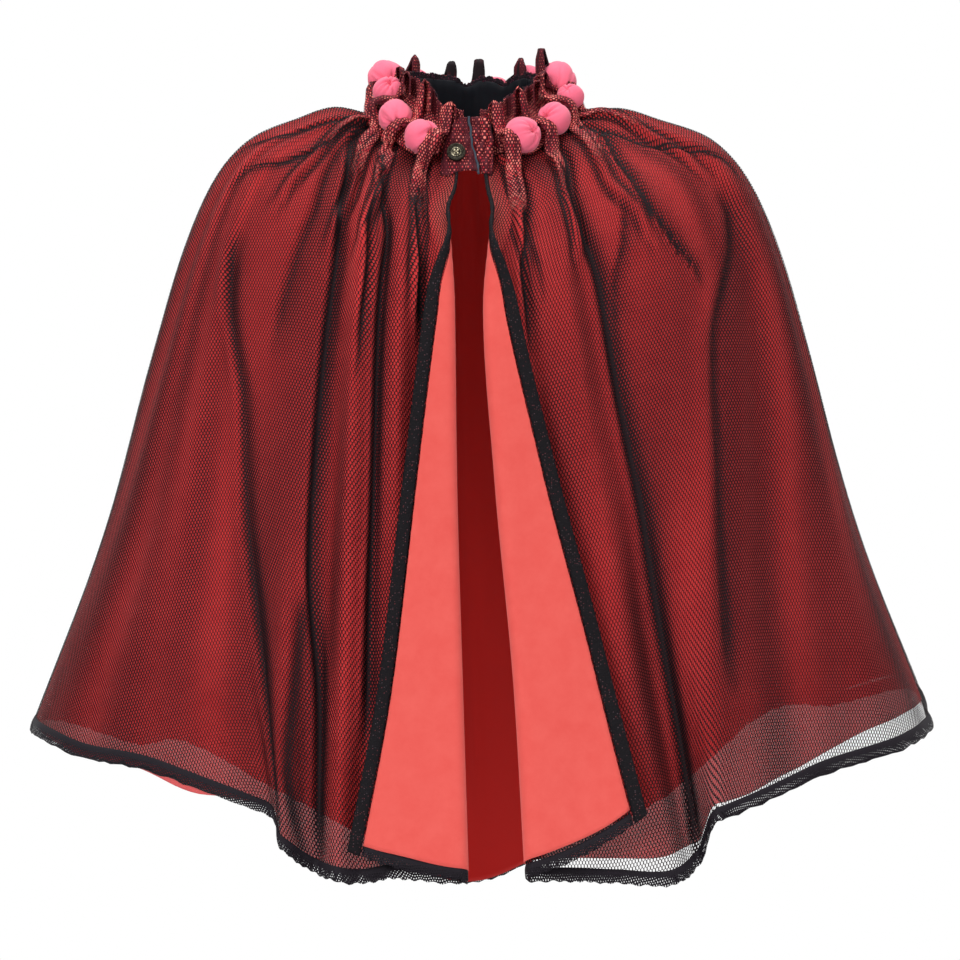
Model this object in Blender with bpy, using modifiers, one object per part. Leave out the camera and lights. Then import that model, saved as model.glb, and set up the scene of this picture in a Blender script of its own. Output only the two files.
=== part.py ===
"""A tulle cape: black net over a coral lining, gathered on a ring of padded balls at the neck.

Metres, +Z up. The origin is the centre of the neck, the front faces -Y, and
the wearer's left is +X. Angles round the cape are measured from the middle of the back.
"""

from collections import namedtuple
from math import atan2, cos, pi, radians, sin

import bpy
import numpy as np

NET_LOW, NET_HIGH = 0.0003, 0.0013  # the net's wall, out from the cloth's middle surface
LINING_LOW, LINING_HIGH = -0.0013, -0.0003
HEM_LOW, HEM_HIGH = 0.0002, 0.0017
BINDING_LOW, BINDING_HIGH = -0.0014, 0.0014
SEAM_GAP = 0.0003
BODY_SHIFT = 0.008  # the body hangs this far to +X of the neck
SHIFT_SETTLES = 0.19  # share of the cloth's length where it is all of that
BINDING_WIDTH = 0.011
BINDING_GAP = 0.0012  # wider than a seam's, because the edge curls towards it
LINING_END = 0.972  # share of the cloth's length, from the neck
HEM_START = 0.982
HEM_GAP = 0.0009  # share of the length between the net and its hem band
ROLL_AT_NECK = 0.030  # radius that a front edge turns out over
ROLL_BELOW = 0.007
ROLL_SETTLES = 0.25  # share of the length where the roll reaches ROLL_BELOW
LAPEL_SINK = 0.004  # how far a lapel's free edge drops back to the panel
TURNED_SHARES = (0.05, 0.10, 0.15, 0.20, 0.27, 0.40, 0.68, 1.0)  # columns of a lapel's lining
BINDING_SHARES = (0.0, 0.5, 1.0)

BALL_RADIUS = 0.0145
BALL_RING = (0.080, 0.060)
STRAP_WALL = 0.0020
COLLAR_WALL = 0.0012
BAND_WALL = 0.0010
BUTTON_SEAT = 0.0010  # from the tab to the button's back

# One row for each ring of the form, from the neck to the hem.
Section = namedtuple("Section", "along side_x side_z front_y front_z back_y back_z power")
SECTIONS = [
    Section(0.000, 0.064, -0.001, 0.047, -0.046, 0.045, 0.004, 1.2),
    Section(0.040, 0.086, -0.006, 0.064, -0.060, 0.069, -0.009, 1.4),
    Section(0.085, 0.122, 0.000, 0.087, -0.079, 0.100, -0.023, 1.6),
    Section(0.135, 0.160, -0.011, 0.111, -0.105, 0.127, -0.045, 1.8),
    Section(0.190, 0.198, -0.026, 0.131, -0.137, 0.147, -0.080, 2.0),
    Section(0.250, 0.227, -0.054, 0.147, -0.173, 0.162, -0.122, 2.1),
    Section(0.350, 0.256, -0.113, 0.164, -0.236, 0.180, -0.203, 2.3),
    Section(0.500, 0.287, -0.213, 0.185, -0.332, 0.202, -0.322, 2.5),
    Section(0.720, 0.3265, -0.358, 0.219, -0.472, 0.238, -0.494, 2.7),
    Section(1.000, 0.396, -0.541, 0.272, -0.650, 0.292, -0.711, 3.0),
]

# One row for each rib of cloth: its angle in degrees at the neck, the chest and the hem, how
# far it stands out at the chest and the hem, and how much longer it hangs, in millimetres.
RIB_LEVELS = (0.0, 0.25, 1.0)
Rib = namedtuple("Rib", "name neck chest hem out_chest out_hem longer")

# The fronts' angles run from the front's middle. The turned edge follows the last rib.
RIGHT_SIDE_RIBS = [  # the wearer's right front, at -X
    Rib("seam", 98, 90, 90, 0, 0, 5),
    Rib("shoulder ridge", 86, 75, 63, 3, 5, 4),
    Rib("side fall", 76, 66, 43, 1, 3, -17),
    Rib("hem step trough", 71, 58, 27.5, 0, -13, -24),
    Rib("chest trough", 65, 42, 24.5, -3, 9, 4),
    Rib("long trough", 58, 32.5, 21, -8, -9, 11),
    Rib("long ridge", 51, 27, 17.5, 4, 7, 15),
    Rib("inner trough", 43, 22, 14.5, -6, -3, 10),
    Rib("inner ridge", 35, 17.5, 11, 4, -1, 2),
    Rib("edge trough", 26, 13, 8, -4, -2, 0),
]
LEFT_SIDE_RIBS = [  # the wearer's left front, at +X
    Rib("seam", 98, 90, 90, 0, 0, 0),
    Rib("shoulder ridge", 84, 76, 66, 4, 6, 5),
    Rib("side trough", 72, 62, 45, -3, -6, -8),
    Rib("side ridge", 58, 43, 30, 3, 8, -9),
    Rib("long trough", 47, 25.5, 28, -8, -11, 20),
    Rib("long ridge", 38, 19, 24, 4, 6, 30),
    Rib("edge trough", 30, 11, 17, -5, -3, 14),
    Rib("edge ridge", 24, 7, 11, 0, -1, 4),
]
BACK_RIBS = [  # angles from the back's middle
    Rib("seam -X", -82, -90, -90, 0, 0, 5),
    Rib("ridge 1", -71, -74, -71, 4, 8, 4),
    Rib("trough 1", -59, -60, -55, -4, -11, -2),
    Rib("ridge 2", -47, -46, -42, 4, 11, -27),
    Rib("trough 2", -36, -34, -28, -5, -14, -32),
    Rib("ridge 3", -23, -21, -15, 4, 10, -14),
    Rib("trough 3", -8, -7, -2, -4, -12, 3),
    Rib("ridge 4", 9, 10, 12, 4, 12, -16),
    Rib("trough 4", 24, 25, 27, -5, -11, -36),
    Rib("ridge 5", 38, 38, 41, 4, 11, -58),
    Rib("trough 5", 53, 54, 57, -4, -12, -34),
    Rib("ridge 6", 69, 71, 72, 4, 7, -24),
    Rib("seam +X", 82, 90, 90, 0, 0, 0),
]

# One row for each height: where each front turns out, from the middle, and how much of it is turned.
Edge = namedtuple("Edge", "along right_x right_turned left_x left_turned")
EDGES = [
    Edge(0.000, -0.0100, 0.0130, 0.0080, 0.0130),
    Edge(0.070, -0.0130, 0.0170, 0.0120, 0.0170),
    Edge(0.120, -0.0190, 0.0240, 0.0165, 0.0250),
    Edge(0.250, -0.0150, 0.0390, 0.0105, 0.0430),
    Edge(0.480, -0.0130, 0.0590, 0.0200, 0.0660),
    Edge(0.755, -0.0080, 0.0840, 0.0360, 0.0920),
    Edge(1.000, -0.0030, 0.1160, 0.0450, 0.1180),
]
LAPEL_SHORTER = {-1: 0.012, 1: 0.036}  # how much higher each lapel's outer corner hangs

# One row for each pair of balls, by their angle from the front and their height.
Ball = namedtuple("Ball", "from_front height")
BALLS = [
    Ball(37, -0.022),
    Ball(62, -0.002),
    Ball(88, 0.017),
    Ball(114, 0.030),
    Ball(141.3, 0.0240),
    Ball(165, 0.0165),
]
STRAPS_FROM_FRONT = (23, 49.5, 75, 101, 127, 154)

# One row for each level of the gathered collar, from the neck seam to its top edge.
Level = namedtuple("Level", "side_x side_z front_y front_z back_y back_z power pleat")
COLLAR = [
    Level(0.0635, 0.0014, 0.0465, -0.0438, 0.0445, 0.0064, 1.2, 0.0006),
    Level(0.0600, 0.0150, 0.0440, -0.0300, 0.0415, 0.0160, 1.2, 0.0016),
    Level(0.0560, 0.0258, 0.0405, -0.0160, 0.0390, 0.0240, 1.2, 0.0022),
    Level(0.0560, 0.0325, 0.0410, -0.0060, 0.0400, 0.0290, 1.2, 0.0028),
]
# The band's lower edge hangs inside the seam, deepest at the back.
BAND_EDGE = Level(0.0625, -0.0060, 0.0465, -0.0442, 0.0445, -0.0090, 1.2, 0.0)
LOOP_RISE = 0.0040  # the collar's top edge lifts this far at each pleat
COLLAR_OPENING = 7.0  # degrees left open each side of the front
BAND_INSET = 0.0044

# One row for each crossing of a pleat over the ball ring: its share of the ring's size and
# its height above the balls' centres.
Crossing = namedtuple("Crossing", "size above")
CROSSINGS = [Crossing(1.00, 0.0102), Crossing(1.14, 0.0045)]
BALL_CLEARANCE = 0.0127  # from a ball's centre line to a pleat's edge
COLLAR_CLEARANCE = 0.0018
STRAP_END = 0.075  # share of the cloth's length where a pleat meets the cape
STRAP_END_HALF = 0.0045
STRAP_LIFT = 0.0040

# The front closure, one row for each level, from its top to its lower edge.
Closure = namedtuple("Closure", "z y tab_x tab_edge stand_end")
CLOSURE = [
    Closure(-0.0130, -0.0465, -0.0160, -0.0042, 0.0165),
    Closure(-0.0200, -0.0490, -0.0215, -0.0030, 0.0180),
    Closure(-0.0320, -0.0530, -0.0225, -0.0012, 0.0190),
    Closure(-0.0430, -0.0580, -0.0220, 0.0004, 0.0190),
    Closure(-0.0520, -0.0670, -0.0180, 0.0018, 0.0175),
    Closure(-0.0560, -0.0715, -0.0090, 0.0024, 0.0160),
]
CLOSURE_WALL = 0.0022
CLOSURE_BEND = 0.070  # radius, seen from above
PIPING_RADIUS = 0.0011
PIPING_GAP = 0.0004
BUTTON_PLACE = (-0.0132, -0.0370)  # x and z

# The button's outline, one row for each corner, from the middle of its face to that of its back.
Corner = namedtuple("Corner", "radius height")
BUTTON = [
    Corner(0.0000, 0.0023),
    Corner(0.0059, 0.0023),
    Corner(0.0067, 0.0032),
    Corner(0.0079, 0.0032),
    Corner(0.0085, 0.0016),
    Corner(0.0075, 0.0000),
    Corner(0.0000, 0.0000),
]
BUTTON_STEPS = 20

COLOURS = {
    "net": (0.013, 0.009, 0.012),
    "coral": (0.90, 0.13, 0.10),
    "pink": (0.95, 0.20, 0.29),
    "navy": (0.006, 0.008, 0.014),
    "bronze": (0.14, 0.12, 0.07),
}


def through(x, y, at):
    """A smooth curve through the points (x, y) that never overshoots them, read at given places."""
    x, y, at = np.asarray(x, float), np.asarray(y, float), np.asarray(at, float)
    steps = np.diff(y) / np.diff(x)
    before, after = steps[:-1], steps[1:]
    same_way = before * after > 0
    middle = np.where(same_way, 2 * before * after / np.where(same_way, before + after, 1), 0)
    slope = np.concatenate([steps[:1], middle, steps[-1:]])
    i = np.clip(np.searchsorted(x, at, side="right") - 1, 0, len(x) - 2)
    step = x[i + 1] - x[i]
    t = np.clip((at - x[i]) / step, 0, 1)
    start = (1 + 2 * t) * (1 - t) ** 2 * y[i] + t * (1 - t) ** 2 * step * slope[i]
    end = t * t * (3 - 2 * t) * y[i + 1] - t * t * (1 - t) * step * slope[i + 1]
    return start + end


def column(rows, name):
    return [getattr(row, name) for row in rows]


def ring_point(size, turn):
    """A point of an oval ring that is higher or lower at its front and back than at its sides."""
    to_back = np.cos(turn)
    depth = np.where(to_back > 0, size["back_y"], size["front_y"])
    end_z = np.where(to_back > 0, size["back_z"], size["front_z"])
    z = size["side_z"] + (end_z - size["side_z"]) * np.abs(to_back) ** size["power"]
    return np.stack(np.broadcast_arrays(size["side_x"] * np.sin(turn), depth * to_back, z), axis=-1)


def form_point(turn, along):
    """The plain form, with no folds: turn is the angle from the back's middle, towards +X."""
    at = column(SECTIONS, "along")
    size = {name: through(at, column(SECTIONS, name), along) for name in Section._fields[1:]}
    points = ring_point(size, turn)
    points[..., 0] += BODY_SHIFT * np.clip(along / SHIFT_SETTLES, 0, 1)
    return points


def form_frame(turn, along):
    """The form's outward normal, its direction round and its metres for each radian."""
    step = 1e-3
    low, high = np.clip(along - step, 0, 1), np.clip(along + step, 0, 1)
    round_way = (form_point(turn + step, along) - form_point(turn - step, along)) / (2 * step)
    down = form_point(turn, high) - form_point(turn, low)
    out = np.cross(round_way, down)
    out /= np.linalg.norm(out, axis=-1, keepdims=True)
    reach = np.linalg.norm(round_way, axis=-1, keepdims=True)
    return out, round_way / reach, reach[..., 0]


def ribs_at(ribs, along):
    """Angles in radians, and the two lengths in metres, of all ribs at one height."""
    angles = [radians(through(RIB_LEVELS, (r.neck, r.chest, r.hem), along)) for r in ribs]
    outs = [float(through(RIB_LEVELS, (0, r.out_chest, r.out_hem), along)) / 1000 for r in ribs]
    longer = [rib.longer / 1000 for rib in ribs]
    return np.array(angles), np.array(outs), np.array(longer)


def folded(angles, outs, longer, places, along):
    """Points of the folded cloth at one height, at places counted in ribs."""
    index = np.arange(len(angles))
    turn = through(index, angles, places)
    out, _, _ = form_frame(turn, along)
    points = form_point(turn, along) + out * through(index, outs, places)[:, None]
    points[:, 2] -= through(index, longer, places) * along**2
    return points


def roll_radius(along):
    share = min(along / ROLL_SETTLES, 1)
    return ROLL_AT_NECK + (ROLL_BELOW - ROLL_AT_NECK) * share * share * (3 - 2 * share)


def edge_at(side, along):
    """Where a front turns out, as x from the body's middle, and how much of it is turned."""
    names = ("right_x", "right_turned") if side < 0 else ("left_x", "left_turned")
    x, turned = (
        float(through(column(EDGES, "along"), column(EDGES, name), along)) for name in names
    )
    return x, turned


def front_row(side, along):
    """One height of a front, from its side seam to its turned edge."""
    ribs = RIGHT_SIDE_RIBS if side < 0 else LEFT_SIDE_RIBS
    angles, outs, longer = ribs_at(ribs, along)
    edge_x, turned = edge_at(side, along)
    width = float(through(column(SECTIONS, "along"), column(SECTIONS, "side_x"), along))
    shift = BODY_SHIFT * min(along / SHIFT_SETTLES, 1)
    radius = roll_radius(along)
    start_x = side * (edge_x - shift) + radius * sin(min(turned / radius, pi / 2))
    start_turn = side * (pi - np.arcsin(start_x / width))
    turns = np.append(side * (pi - angles), start_turn)
    places = np.arange(2 * len(ribs) + 1) / 2
    panel = folded(turns, np.append(outs, 0), np.append(longer, 0), places, along)

    main = (turned - BINDING_WIDTH - BINDING_GAP) * np.array(TURNED_SHARES)
    binding = turned - BINDING_WIDTH * (1 - np.array(BINDING_SHARES))
    spans = np.concatenate([main, binding])
    out, round_way, reach = form_frame(np.array([start_turn]), along)
    base = form_point(np.array([start_turn]), along)[0]
    curl = np.minimum(spans / radius, pi)[:, None]
    rolled = base + side * round_way * radius * np.sin(curl) + out * radius * (1 - np.cos(curl))
    back = np.maximum(spans - pi * radius, 0)
    lapel_turn = start_turn - side * back / reach
    lapel_out, _, _ = form_frame(lapel_turn, along)
    sink = LAPEL_SINK * back / turned
    lapel = form_point(lapel_turn, along) + lapel_out * (2 * radius - sink)[:, None]
    strip = np.where((back > 0)[:, None], lapel, rolled)
    strip[:, 2] += LAPEL_SHORTER[side] * (spans / turned) ** 1.5 * along**3
    return np.concatenate([panel, strip])


def drawn_in(row, end, inward):
    """A piece's row with the point at a seam drawn in by half of the seam's gap."""
    way = row[end + inward] - row[end]
    row[end] += way / np.linalg.norm(way) * SEAM_GAP / 2
    return row


def cloth_row(along):
    """One height of all the cloth, from the edge of one front round the back to the other."""
    right = drawn_in(front_row(-1, along), 0, 1)
    left = drawn_in(front_row(1, along), 0, 1)
    places = np.arange(2 * len(BACK_RIBS) - 1) / 2
    back = folded(*ribs_at(BACK_RIBS, along), places, along)
    back = drawn_in(drawn_in(back, 0, 1), -1, -1)
    return [right[::-1], back, left]


def ways(points, axis):
    """At each point of a grid, the direction midway between those of its two edges along an axis."""
    edges = np.diff(points, axis=axis)
    edges /= np.linalg.norm(edges, axis=-1, keepdims=True)
    first, last = edges.take([0], axis=axis), edges.take([-1], axis=axis)
    return np.concatenate([first, edges], axis=axis) + np.concatenate([edges, last], axis=axis)


def cloth_grid(alongs):
    """The cloth's points and outward directions at each height, and where each piece's columns are."""
    rows = [cloth_row(along) for along in alongs]
    right, back, left = (len(piece) for piece in rows[0])
    bound = len(BINDING_SHARES)
    columns = {
        "binding_right": slice(0, bound),
        "right_front": slice(bound, right),
        "back": slice(right, right + back),
        "left_front": slice(right + back, right + back + left - bound),
        "binding_left": slice(right + back + left - bound, None),
    }
    points = np.array([np.concatenate(row) for row in rows])
    outs = np.cross(ways(points, 1), ways(points, 0))
    return points, outs / np.linalg.norm(outs, axis=-1, keepdims=True), columns


def material(name, colour, roughness, metallic=0.0):
    made = bpy.data.materials.get(name) or bpy.data.materials.new(name)
    made.use_nodes = True
    shader = made.node_tree.nodes["Principled BSDF"]
    shader.inputs["Base Color"].default_value = (*COLOURS[colour], 1)
    shader.inputs["Roughness"].default_value = roughness
    shader.inputs["Metallic"].default_value = metallic
    return made


def add_mesh(name, vertices, faces, finish):
    mesh = bpy.data.meshes.new(name)
    mesh.from_pydata([tuple(map(float, v)) for v in vertices], [], faces)
    obj = bpy.data.objects.new(name, mesh)
    mesh.materials.append(finish)
    cape.objects.link(obj)
    return obj


def grid_faces(rows, columns):
    """Triangles of a grid of points, all split the same way, wound to face away from the wearer."""
    corners = [r * columns + c for r in range(rows - 1) for c in range(columns - 1)]
    upper = [(i, i + 1, i + 1 + columns) for i in corners]
    lower = [(i, i + 1 + columns, i + columns) for i in corners]
    return upper + lower


def add_wall(name, points, outs, low, high, finish):
    """A closed wall through rows of points, from low to high along their outward directions."""
    rows, columns = points.shape[:2]
    count = rows * columns
    outer = (points + outs * high).reshape(-1, 3)
    inner = (points + outs * low).reshape(-1, 3)
    faces = grid_faces(rows, columns)
    faces += [tuple(i + count for i in face[::-1]) for face in grid_faces(rows, columns)]
    rim = list(range(columns)) + [r * columns + columns - 1 for r in range(1, rows)]
    rim += [count - 1 - c for c in range(1, columns)]
    rim += [r * columns for r in range(rows - 2, 0, -1)]
    faces += [(b, a, a + count, b + count) for a, b in zip(rim, rim[1:] + rim[:1])]
    return add_mesh(name, np.concatenate([outer, inner]), faces, finish)


def add_sheet(name, points, wall, finish):
    """An open sheet through rows of points, thickened evenly on both sides."""
    obj = add_mesh(name, points.reshape(-1, 3), grid_faces(*points.shape[:2]), finish)
    shell = obj.modifiers.new("wall", "SOLIDIFY")
    shell.thickness = wall
    shell.offset = 0
    shell.use_even_offset = True
    return obj


def build_cloth():
    """Net over lining in three panels, with a hem band on each and a binding on each front edge."""
    net = material("net", "net", 0.6)
    coral = material("coral cotton", "coral", 0.8)
    rows = column(SECTIONS[:-1], "along") + [LINING_END, HEM_START, HEM_START + HEM_GAP, 1.0]
    points, outs, columns = cloth_grid(rows)

    def add_piece(name, piece, down, low, high, finish):
        place = (down, columns[piece])
        add_wall(name, points[place], outs[place], low, high, finish)

    for piece in ("right_front", "back", "left_front"):
        add_piece("net_" + piece, piece, slice(0, -2), NET_LOW, NET_HIGH, net)
        add_piece("lining_" + piece, piece, slice(0, -3), LINING_LOW, LINING_HIGH, coral)
        add_piece("hem_band_" + piece, piece, slice(-2, None), HEM_LOW, HEM_HIGH, net)
    for piece in ("binding_right", "binding_left"):
        add_piece(piece, piece, slice(None), BINDING_LOW, BINDING_HIGH, net)


def strap_turns():
    """Angles from the back's middle of the pleats that cross the ball ring."""
    pairs = [radians(180 - angle) for angle in STRAPS_FROM_FRONT]
    return sorted([-turn for turn in pairs] + [0.0] + pairs)


def collar_point(turn, level, wave, inset=0.0):
    """A point of the collar's wall. wave is 1 on a pleat and -1 between two."""
    size = level._asdict()
    for name in ("side_x", "front_y", "back_y"):
        size[name] = size[name] + level.pleat * wave - inset
    points = ring_point(size, turn)
    points[..., 2] += LOOP_RISE * wave * (level is COLLAR[-1])
    return points


def collar_marks():
    """Angles round the collar, with the wave's value at each: pleats, hollows and slopes."""
    pleats = strap_turns()
    hollows = [(a + b) / 2 for a, b in zip(pleats, pleats[1:])]
    waves = sorted(pleats + hollows)
    slopes = [(a + b) / 2 for a, b in zip(waves, waves[1:])]
    end = pi - radians(COLLAR_OPENING)
    marks = [(turn, 1.0) for turn in pleats] + [(turn, -1.0) for turn in hollows]
    marks += [(turn, 0.0) for turn in slopes + [-end, end]]
    return np.array(sorted(marks)).T


def build_collar():
    """Net over coral, gathered into pleats round the neck, with a navy band inside."""
    turns, waves = collar_marks()
    rows = np.array([collar_point(turns, level, waves) for level in COLLAR[::-1]])
    add_sheet("collar", rows, COLLAR_WALL, material("net on coral", "coral", 0.7))
    turns = np.linspace(turns[0], turns[-1], 29)
    levels = COLLAR[::-1] + [BAND_EDGE]
    rows = np.array([collar_point(turns, level, 0.0, BAND_INSET) for level in levels])
    add_sheet("neck_band", rows, BAND_WALL, material("navy satin", "navy", 0.35))


def ball_ring(turn):
    """A point of the line through the balls' centres, at an angle from the back's middle."""
    angles = [180 - ball.from_front for ball in BALLS[::-1]]
    heights = [ball.height for ball in BALLS[::-1]]
    height = np.interp(abs(np.degrees(turn)), angles, heights)
    return np.array([BALL_RING[0] * sin(turn), BALL_RING[1] * cos(turn), height])


def ball_turns():
    return sorted(side * radians(180 - ball.from_front) for ball in BALLS for side in (-1, 1))


def build_balls():
    """Padded balls in pink cloth, tied on round the outside of the neck seam."""
    pink = material("pink cotton", "pink", 0.8)
    for number, turn in enumerate(ball_turns(), start=1):
        bpy.ops.mesh.primitive_ico_sphere_add(subdivisions=2, radius=BALL_RADIUS)
        ball = bpy.context.object
        ball.name = f"ball_{number:02d}"
        ball.location = ball_ring(turn)
        ball.data.materials.append(pink)
        ball.data.shade_smooth()
        move_to_cape(ball)


def unit(way):
    return way / np.linalg.norm(way)


def build_straps():
    """A pleat of the cape comes up between each two balls and lies over to the collar."""
    finish = material("net on coral", "coral", 0.7)
    points, outs, _ = cloth_grid([0.0, STRAP_END, SECTIONS[3].along])
    top, top_outs = points[1], outs[1]
    bearings = np.arctan2(top[:, 0], top[:, 1])
    for number, turn in enumerate(strap_turns(), start=1):
        middle = ball_ring(turn)
        across = unit(ball_ring(turn + 0.05) - ball_ring(turn - 0.05))
        up = unit(np.cross(across, middle * (1, 1, 0)))
        nearest = min(np.linalg.norm(ball_ring(ball) - middle) for ball in ball_turns())
        half = across * (nearest - BALL_CLEARANCE)
        start = collar_point(np.array(turn), COLLAR[-2], 1.0)
        start += unit(middle * (1, 1, 0)) * COLLAR_CLEARANCE
        rows = [[start - half, start + half]]
        for crossing in CROSSINGS:
            point = middle * (crossing.size, crossing.size, 1) + up * crossing.above
            rows.append([point - half, point + half])
        seat = np.argmin(abs(bearings - np.arctan2(middle[0], middle[1])))
        end = top[seat] + top_outs[seat] * STRAP_LIFT
        rows.append([end - across * STRAP_END_HALF, end + across * STRAP_END_HALF])
        add_sheet(f"strap_{number:02d}", np.array(rows), STRAP_WALL, finish)


def closure_row(level, start, end, columns):
    """Points of one level of the closure, bent round the neck."""
    x = np.linspace(start, end, columns)
    return np.stack([x, level.y + x * x / (2 * CLOSURE_BEND), np.full(columns, level.z)], axis=-1)


def build_closure():
    """The buttoned tab of the wearer's right front, over the stand of the left one."""
    finish = material("net on coral", "coral", 0.7)
    stand_start = 2 * (PIPING_RADIUS + PIPING_GAP)
    tab = np.array([closure_row(level, level.tab_x, level.tab_edge, 5) for level in CLOSURE])
    stand = np.array(
        [closure_row(level, level.tab_edge + stand_start, level.stand_end, 4) for level in CLOSURE]
    )
    add_sheet("button_tab", tab, CLOSURE_WALL, finish)
    add_sheet("button_stand", stand, CLOSURE_WALL, finish)

    curve = bpy.data.curves.new("piping", "CURVE")
    curve.dimensions = "3D"
    curve.bevel_depth = PIPING_RADIUS
    curve.bevel_resolution = 2
    curve.use_fill_caps = True
    line = curve.splines.new("POLY")
    line.points.add(len(CLOSURE) - 1)
    for point, level in zip(line.points, CLOSURE):
        x = level.tab_edge + PIPING_RADIUS + PIPING_GAP
        point.co = (x, level.y + x * x / (2 * CLOSURE_BEND), level.z, 1)
    curve.materials.append(material("navy satin", "navy", 0.35))
    cape.objects.link(bpy.data.objects.new("piping", curve))


def build_button():
    """A flat button with a raised rim, turned about its own axis."""
    edges = [(i, i + 1) for i in range(len(BUTTON) - 1)]
    mesh = bpy.data.meshes.new("button")
    mesh.from_pydata([(corner.radius, 0, corner.height) for corner in BUTTON], edges, [])
    mesh.materials.append(material("bronze", "bronze", 0.35, 0.8))
    button = bpy.data.objects.new("button", mesh)
    turned = button.modifiers.new("turned", "SCREW")
    turned.steps = turned.render_steps = BUTTON_STEPS
    turned.use_merge_vertices = True
    turned.merge_threshold = 0.0001
    x, z = BUTTON_PLACE
    lower = next(level for level in CLOSURE if level.z < z)
    upper = CLOSURE[CLOSURE.index(lower) - 1]
    share = (z - lower.z) / (upper.z - lower.z)
    y = lower.y + (upper.y - lower.y) * share + x * x / (2 * CLOSURE_BEND)
    lean = atan2(upper.y - lower.y, upper.z - lower.z)
    rise = CLOSURE_WALL / 2 + BUTTON_SEAT
    button.location = (x, y - rise * cos(lean), z + rise * sin(lean))
    button.rotation_euler = (pi / 2 - lean, 0, 0)
    cape.objects.link(button)


def move_to_cape(obj):
    for used in list(obj.users_collection):
        used.objects.unlink(obj)
    cape.objects.link(obj)


for old in list(bpy.data.objects):
    bpy.data.objects.remove(old)
cape = bpy.data.collections.new("tulle cape")
bpy.context.scene.collection.children.link(cape)
build_cloth()
build_collar()
build_balls()
build_straps()
build_closure()
build_button()
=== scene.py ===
import math
from collections import namedtuple

import bpy
import numpy as np
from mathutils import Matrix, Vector


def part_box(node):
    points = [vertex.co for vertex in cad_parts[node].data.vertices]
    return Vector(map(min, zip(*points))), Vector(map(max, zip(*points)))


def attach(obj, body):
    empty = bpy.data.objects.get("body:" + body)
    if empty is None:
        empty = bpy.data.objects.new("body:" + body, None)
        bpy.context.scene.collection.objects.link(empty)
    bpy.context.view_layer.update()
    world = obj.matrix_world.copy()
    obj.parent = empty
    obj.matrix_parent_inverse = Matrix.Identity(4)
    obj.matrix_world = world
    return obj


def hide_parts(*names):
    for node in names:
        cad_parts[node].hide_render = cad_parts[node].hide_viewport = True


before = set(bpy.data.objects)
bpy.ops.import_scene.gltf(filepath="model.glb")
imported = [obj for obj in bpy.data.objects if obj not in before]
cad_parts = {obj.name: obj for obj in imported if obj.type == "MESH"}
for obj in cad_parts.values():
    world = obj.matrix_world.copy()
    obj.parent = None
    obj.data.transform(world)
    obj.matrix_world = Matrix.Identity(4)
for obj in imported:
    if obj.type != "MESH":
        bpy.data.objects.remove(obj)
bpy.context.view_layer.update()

print("frame loaded")

# The form of the worn cape.
# Metres. Angles round the cape are from the middle of the back, towards the wearer's left (+X).

Section = namedtuple("Section", "along sideX sideZ frontY frontZ backY backZ power")
sections = [
    Section(0.000, 0.064, -0.001, 0.047, -0.046, 0.045, 0.004, 1.2),
    Section(0.040, 0.086, -0.006, 0.064, -0.060, 0.069, -0.009, 1.4),
    Section(0.085, 0.122, 0.000, 0.087, -0.079, 0.100, -0.023, 1.6),
    Section(0.135, 0.160, -0.011, 0.111, -0.105, 0.127, -0.045, 1.8),
    Section(0.190, 0.198, -0.026, 0.131, -0.137, 0.147, -0.080, 2.0),
    Section(0.250, 0.227, -0.054, 0.147, -0.173, 0.162, -0.122, 2.1),
    Section(0.350, 0.256, -0.113, 0.164, -0.236, 0.180, -0.203, 2.3),
    Section(0.500, 0.287, -0.213, 0.185, -0.332, 0.202, -0.322, 2.5),
    Section(0.720, 0.3265, -0.358, 0.219, -0.472, 0.238, -0.494, 2.7),
    Section(1.000, 0.396, -0.541, 0.272, -0.650, 0.292, -0.711, 3.0),
]

# each rib of cloth: its angle in degrees at the neck, chest and hem, how far it stands out at
# the chest and hem, and how much longer it hangs, in millimetres
Rib = namedtuple("Rib", "name neck chest hem outChest outHem longer")
ribLevels = (0.0, 0.25, 1.0)
frontRibs = {
    -1: [  # the wearer's right front, angles from the front's middle
        Rib("seam", 98, 90, 90, 0, 0, 5),
        Rib("shoulder ridge", 86, 75, 63, 3, 5, 4),
        Rib("side fall", 76, 66, 43, 1, 3, -17),
        Rib("hem step trough", 71, 58, 27.5, 0, -13, -24),
        Rib("chest trough", 65, 42, 24.5, -3, 9, 4),
        Rib("long trough", 58, 32.5, 21, -8, -9, 11),
        Rib("long ridge", 51, 27, 17.5, 4, 7, 15),
        Rib("inner trough", 43, 22, 14.5, -6, -3, 10),
        Rib("inner ridge", 35, 17.5, 11, 4, -1, 2),
        Rib("edge trough", 26, 13, 8, -4, -2, 0),
    ],
    1: [  # the wearer's left front
        Rib("seam", 98, 90, 90, 0, 0, 0),
        Rib("shoulder ridge", 84, 76, 66, 4, 6, 5),
        Rib("side trough", 72, 62, 45, -3, -6, -8),
        Rib("side ridge", 58, 43, 30, 3, 8, -9),
        Rib("long trough", 47, 25.5, 28, -8, -11, 20),
        Rib("long ridge", 38, 19, 24, 4, 6, 30),
        Rib("edge trough", 30, 11, 17, -5, -3, 14),
        Rib("edge ridge", 24, 7, 11, 0, -1, 4),
    ],
}
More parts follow.
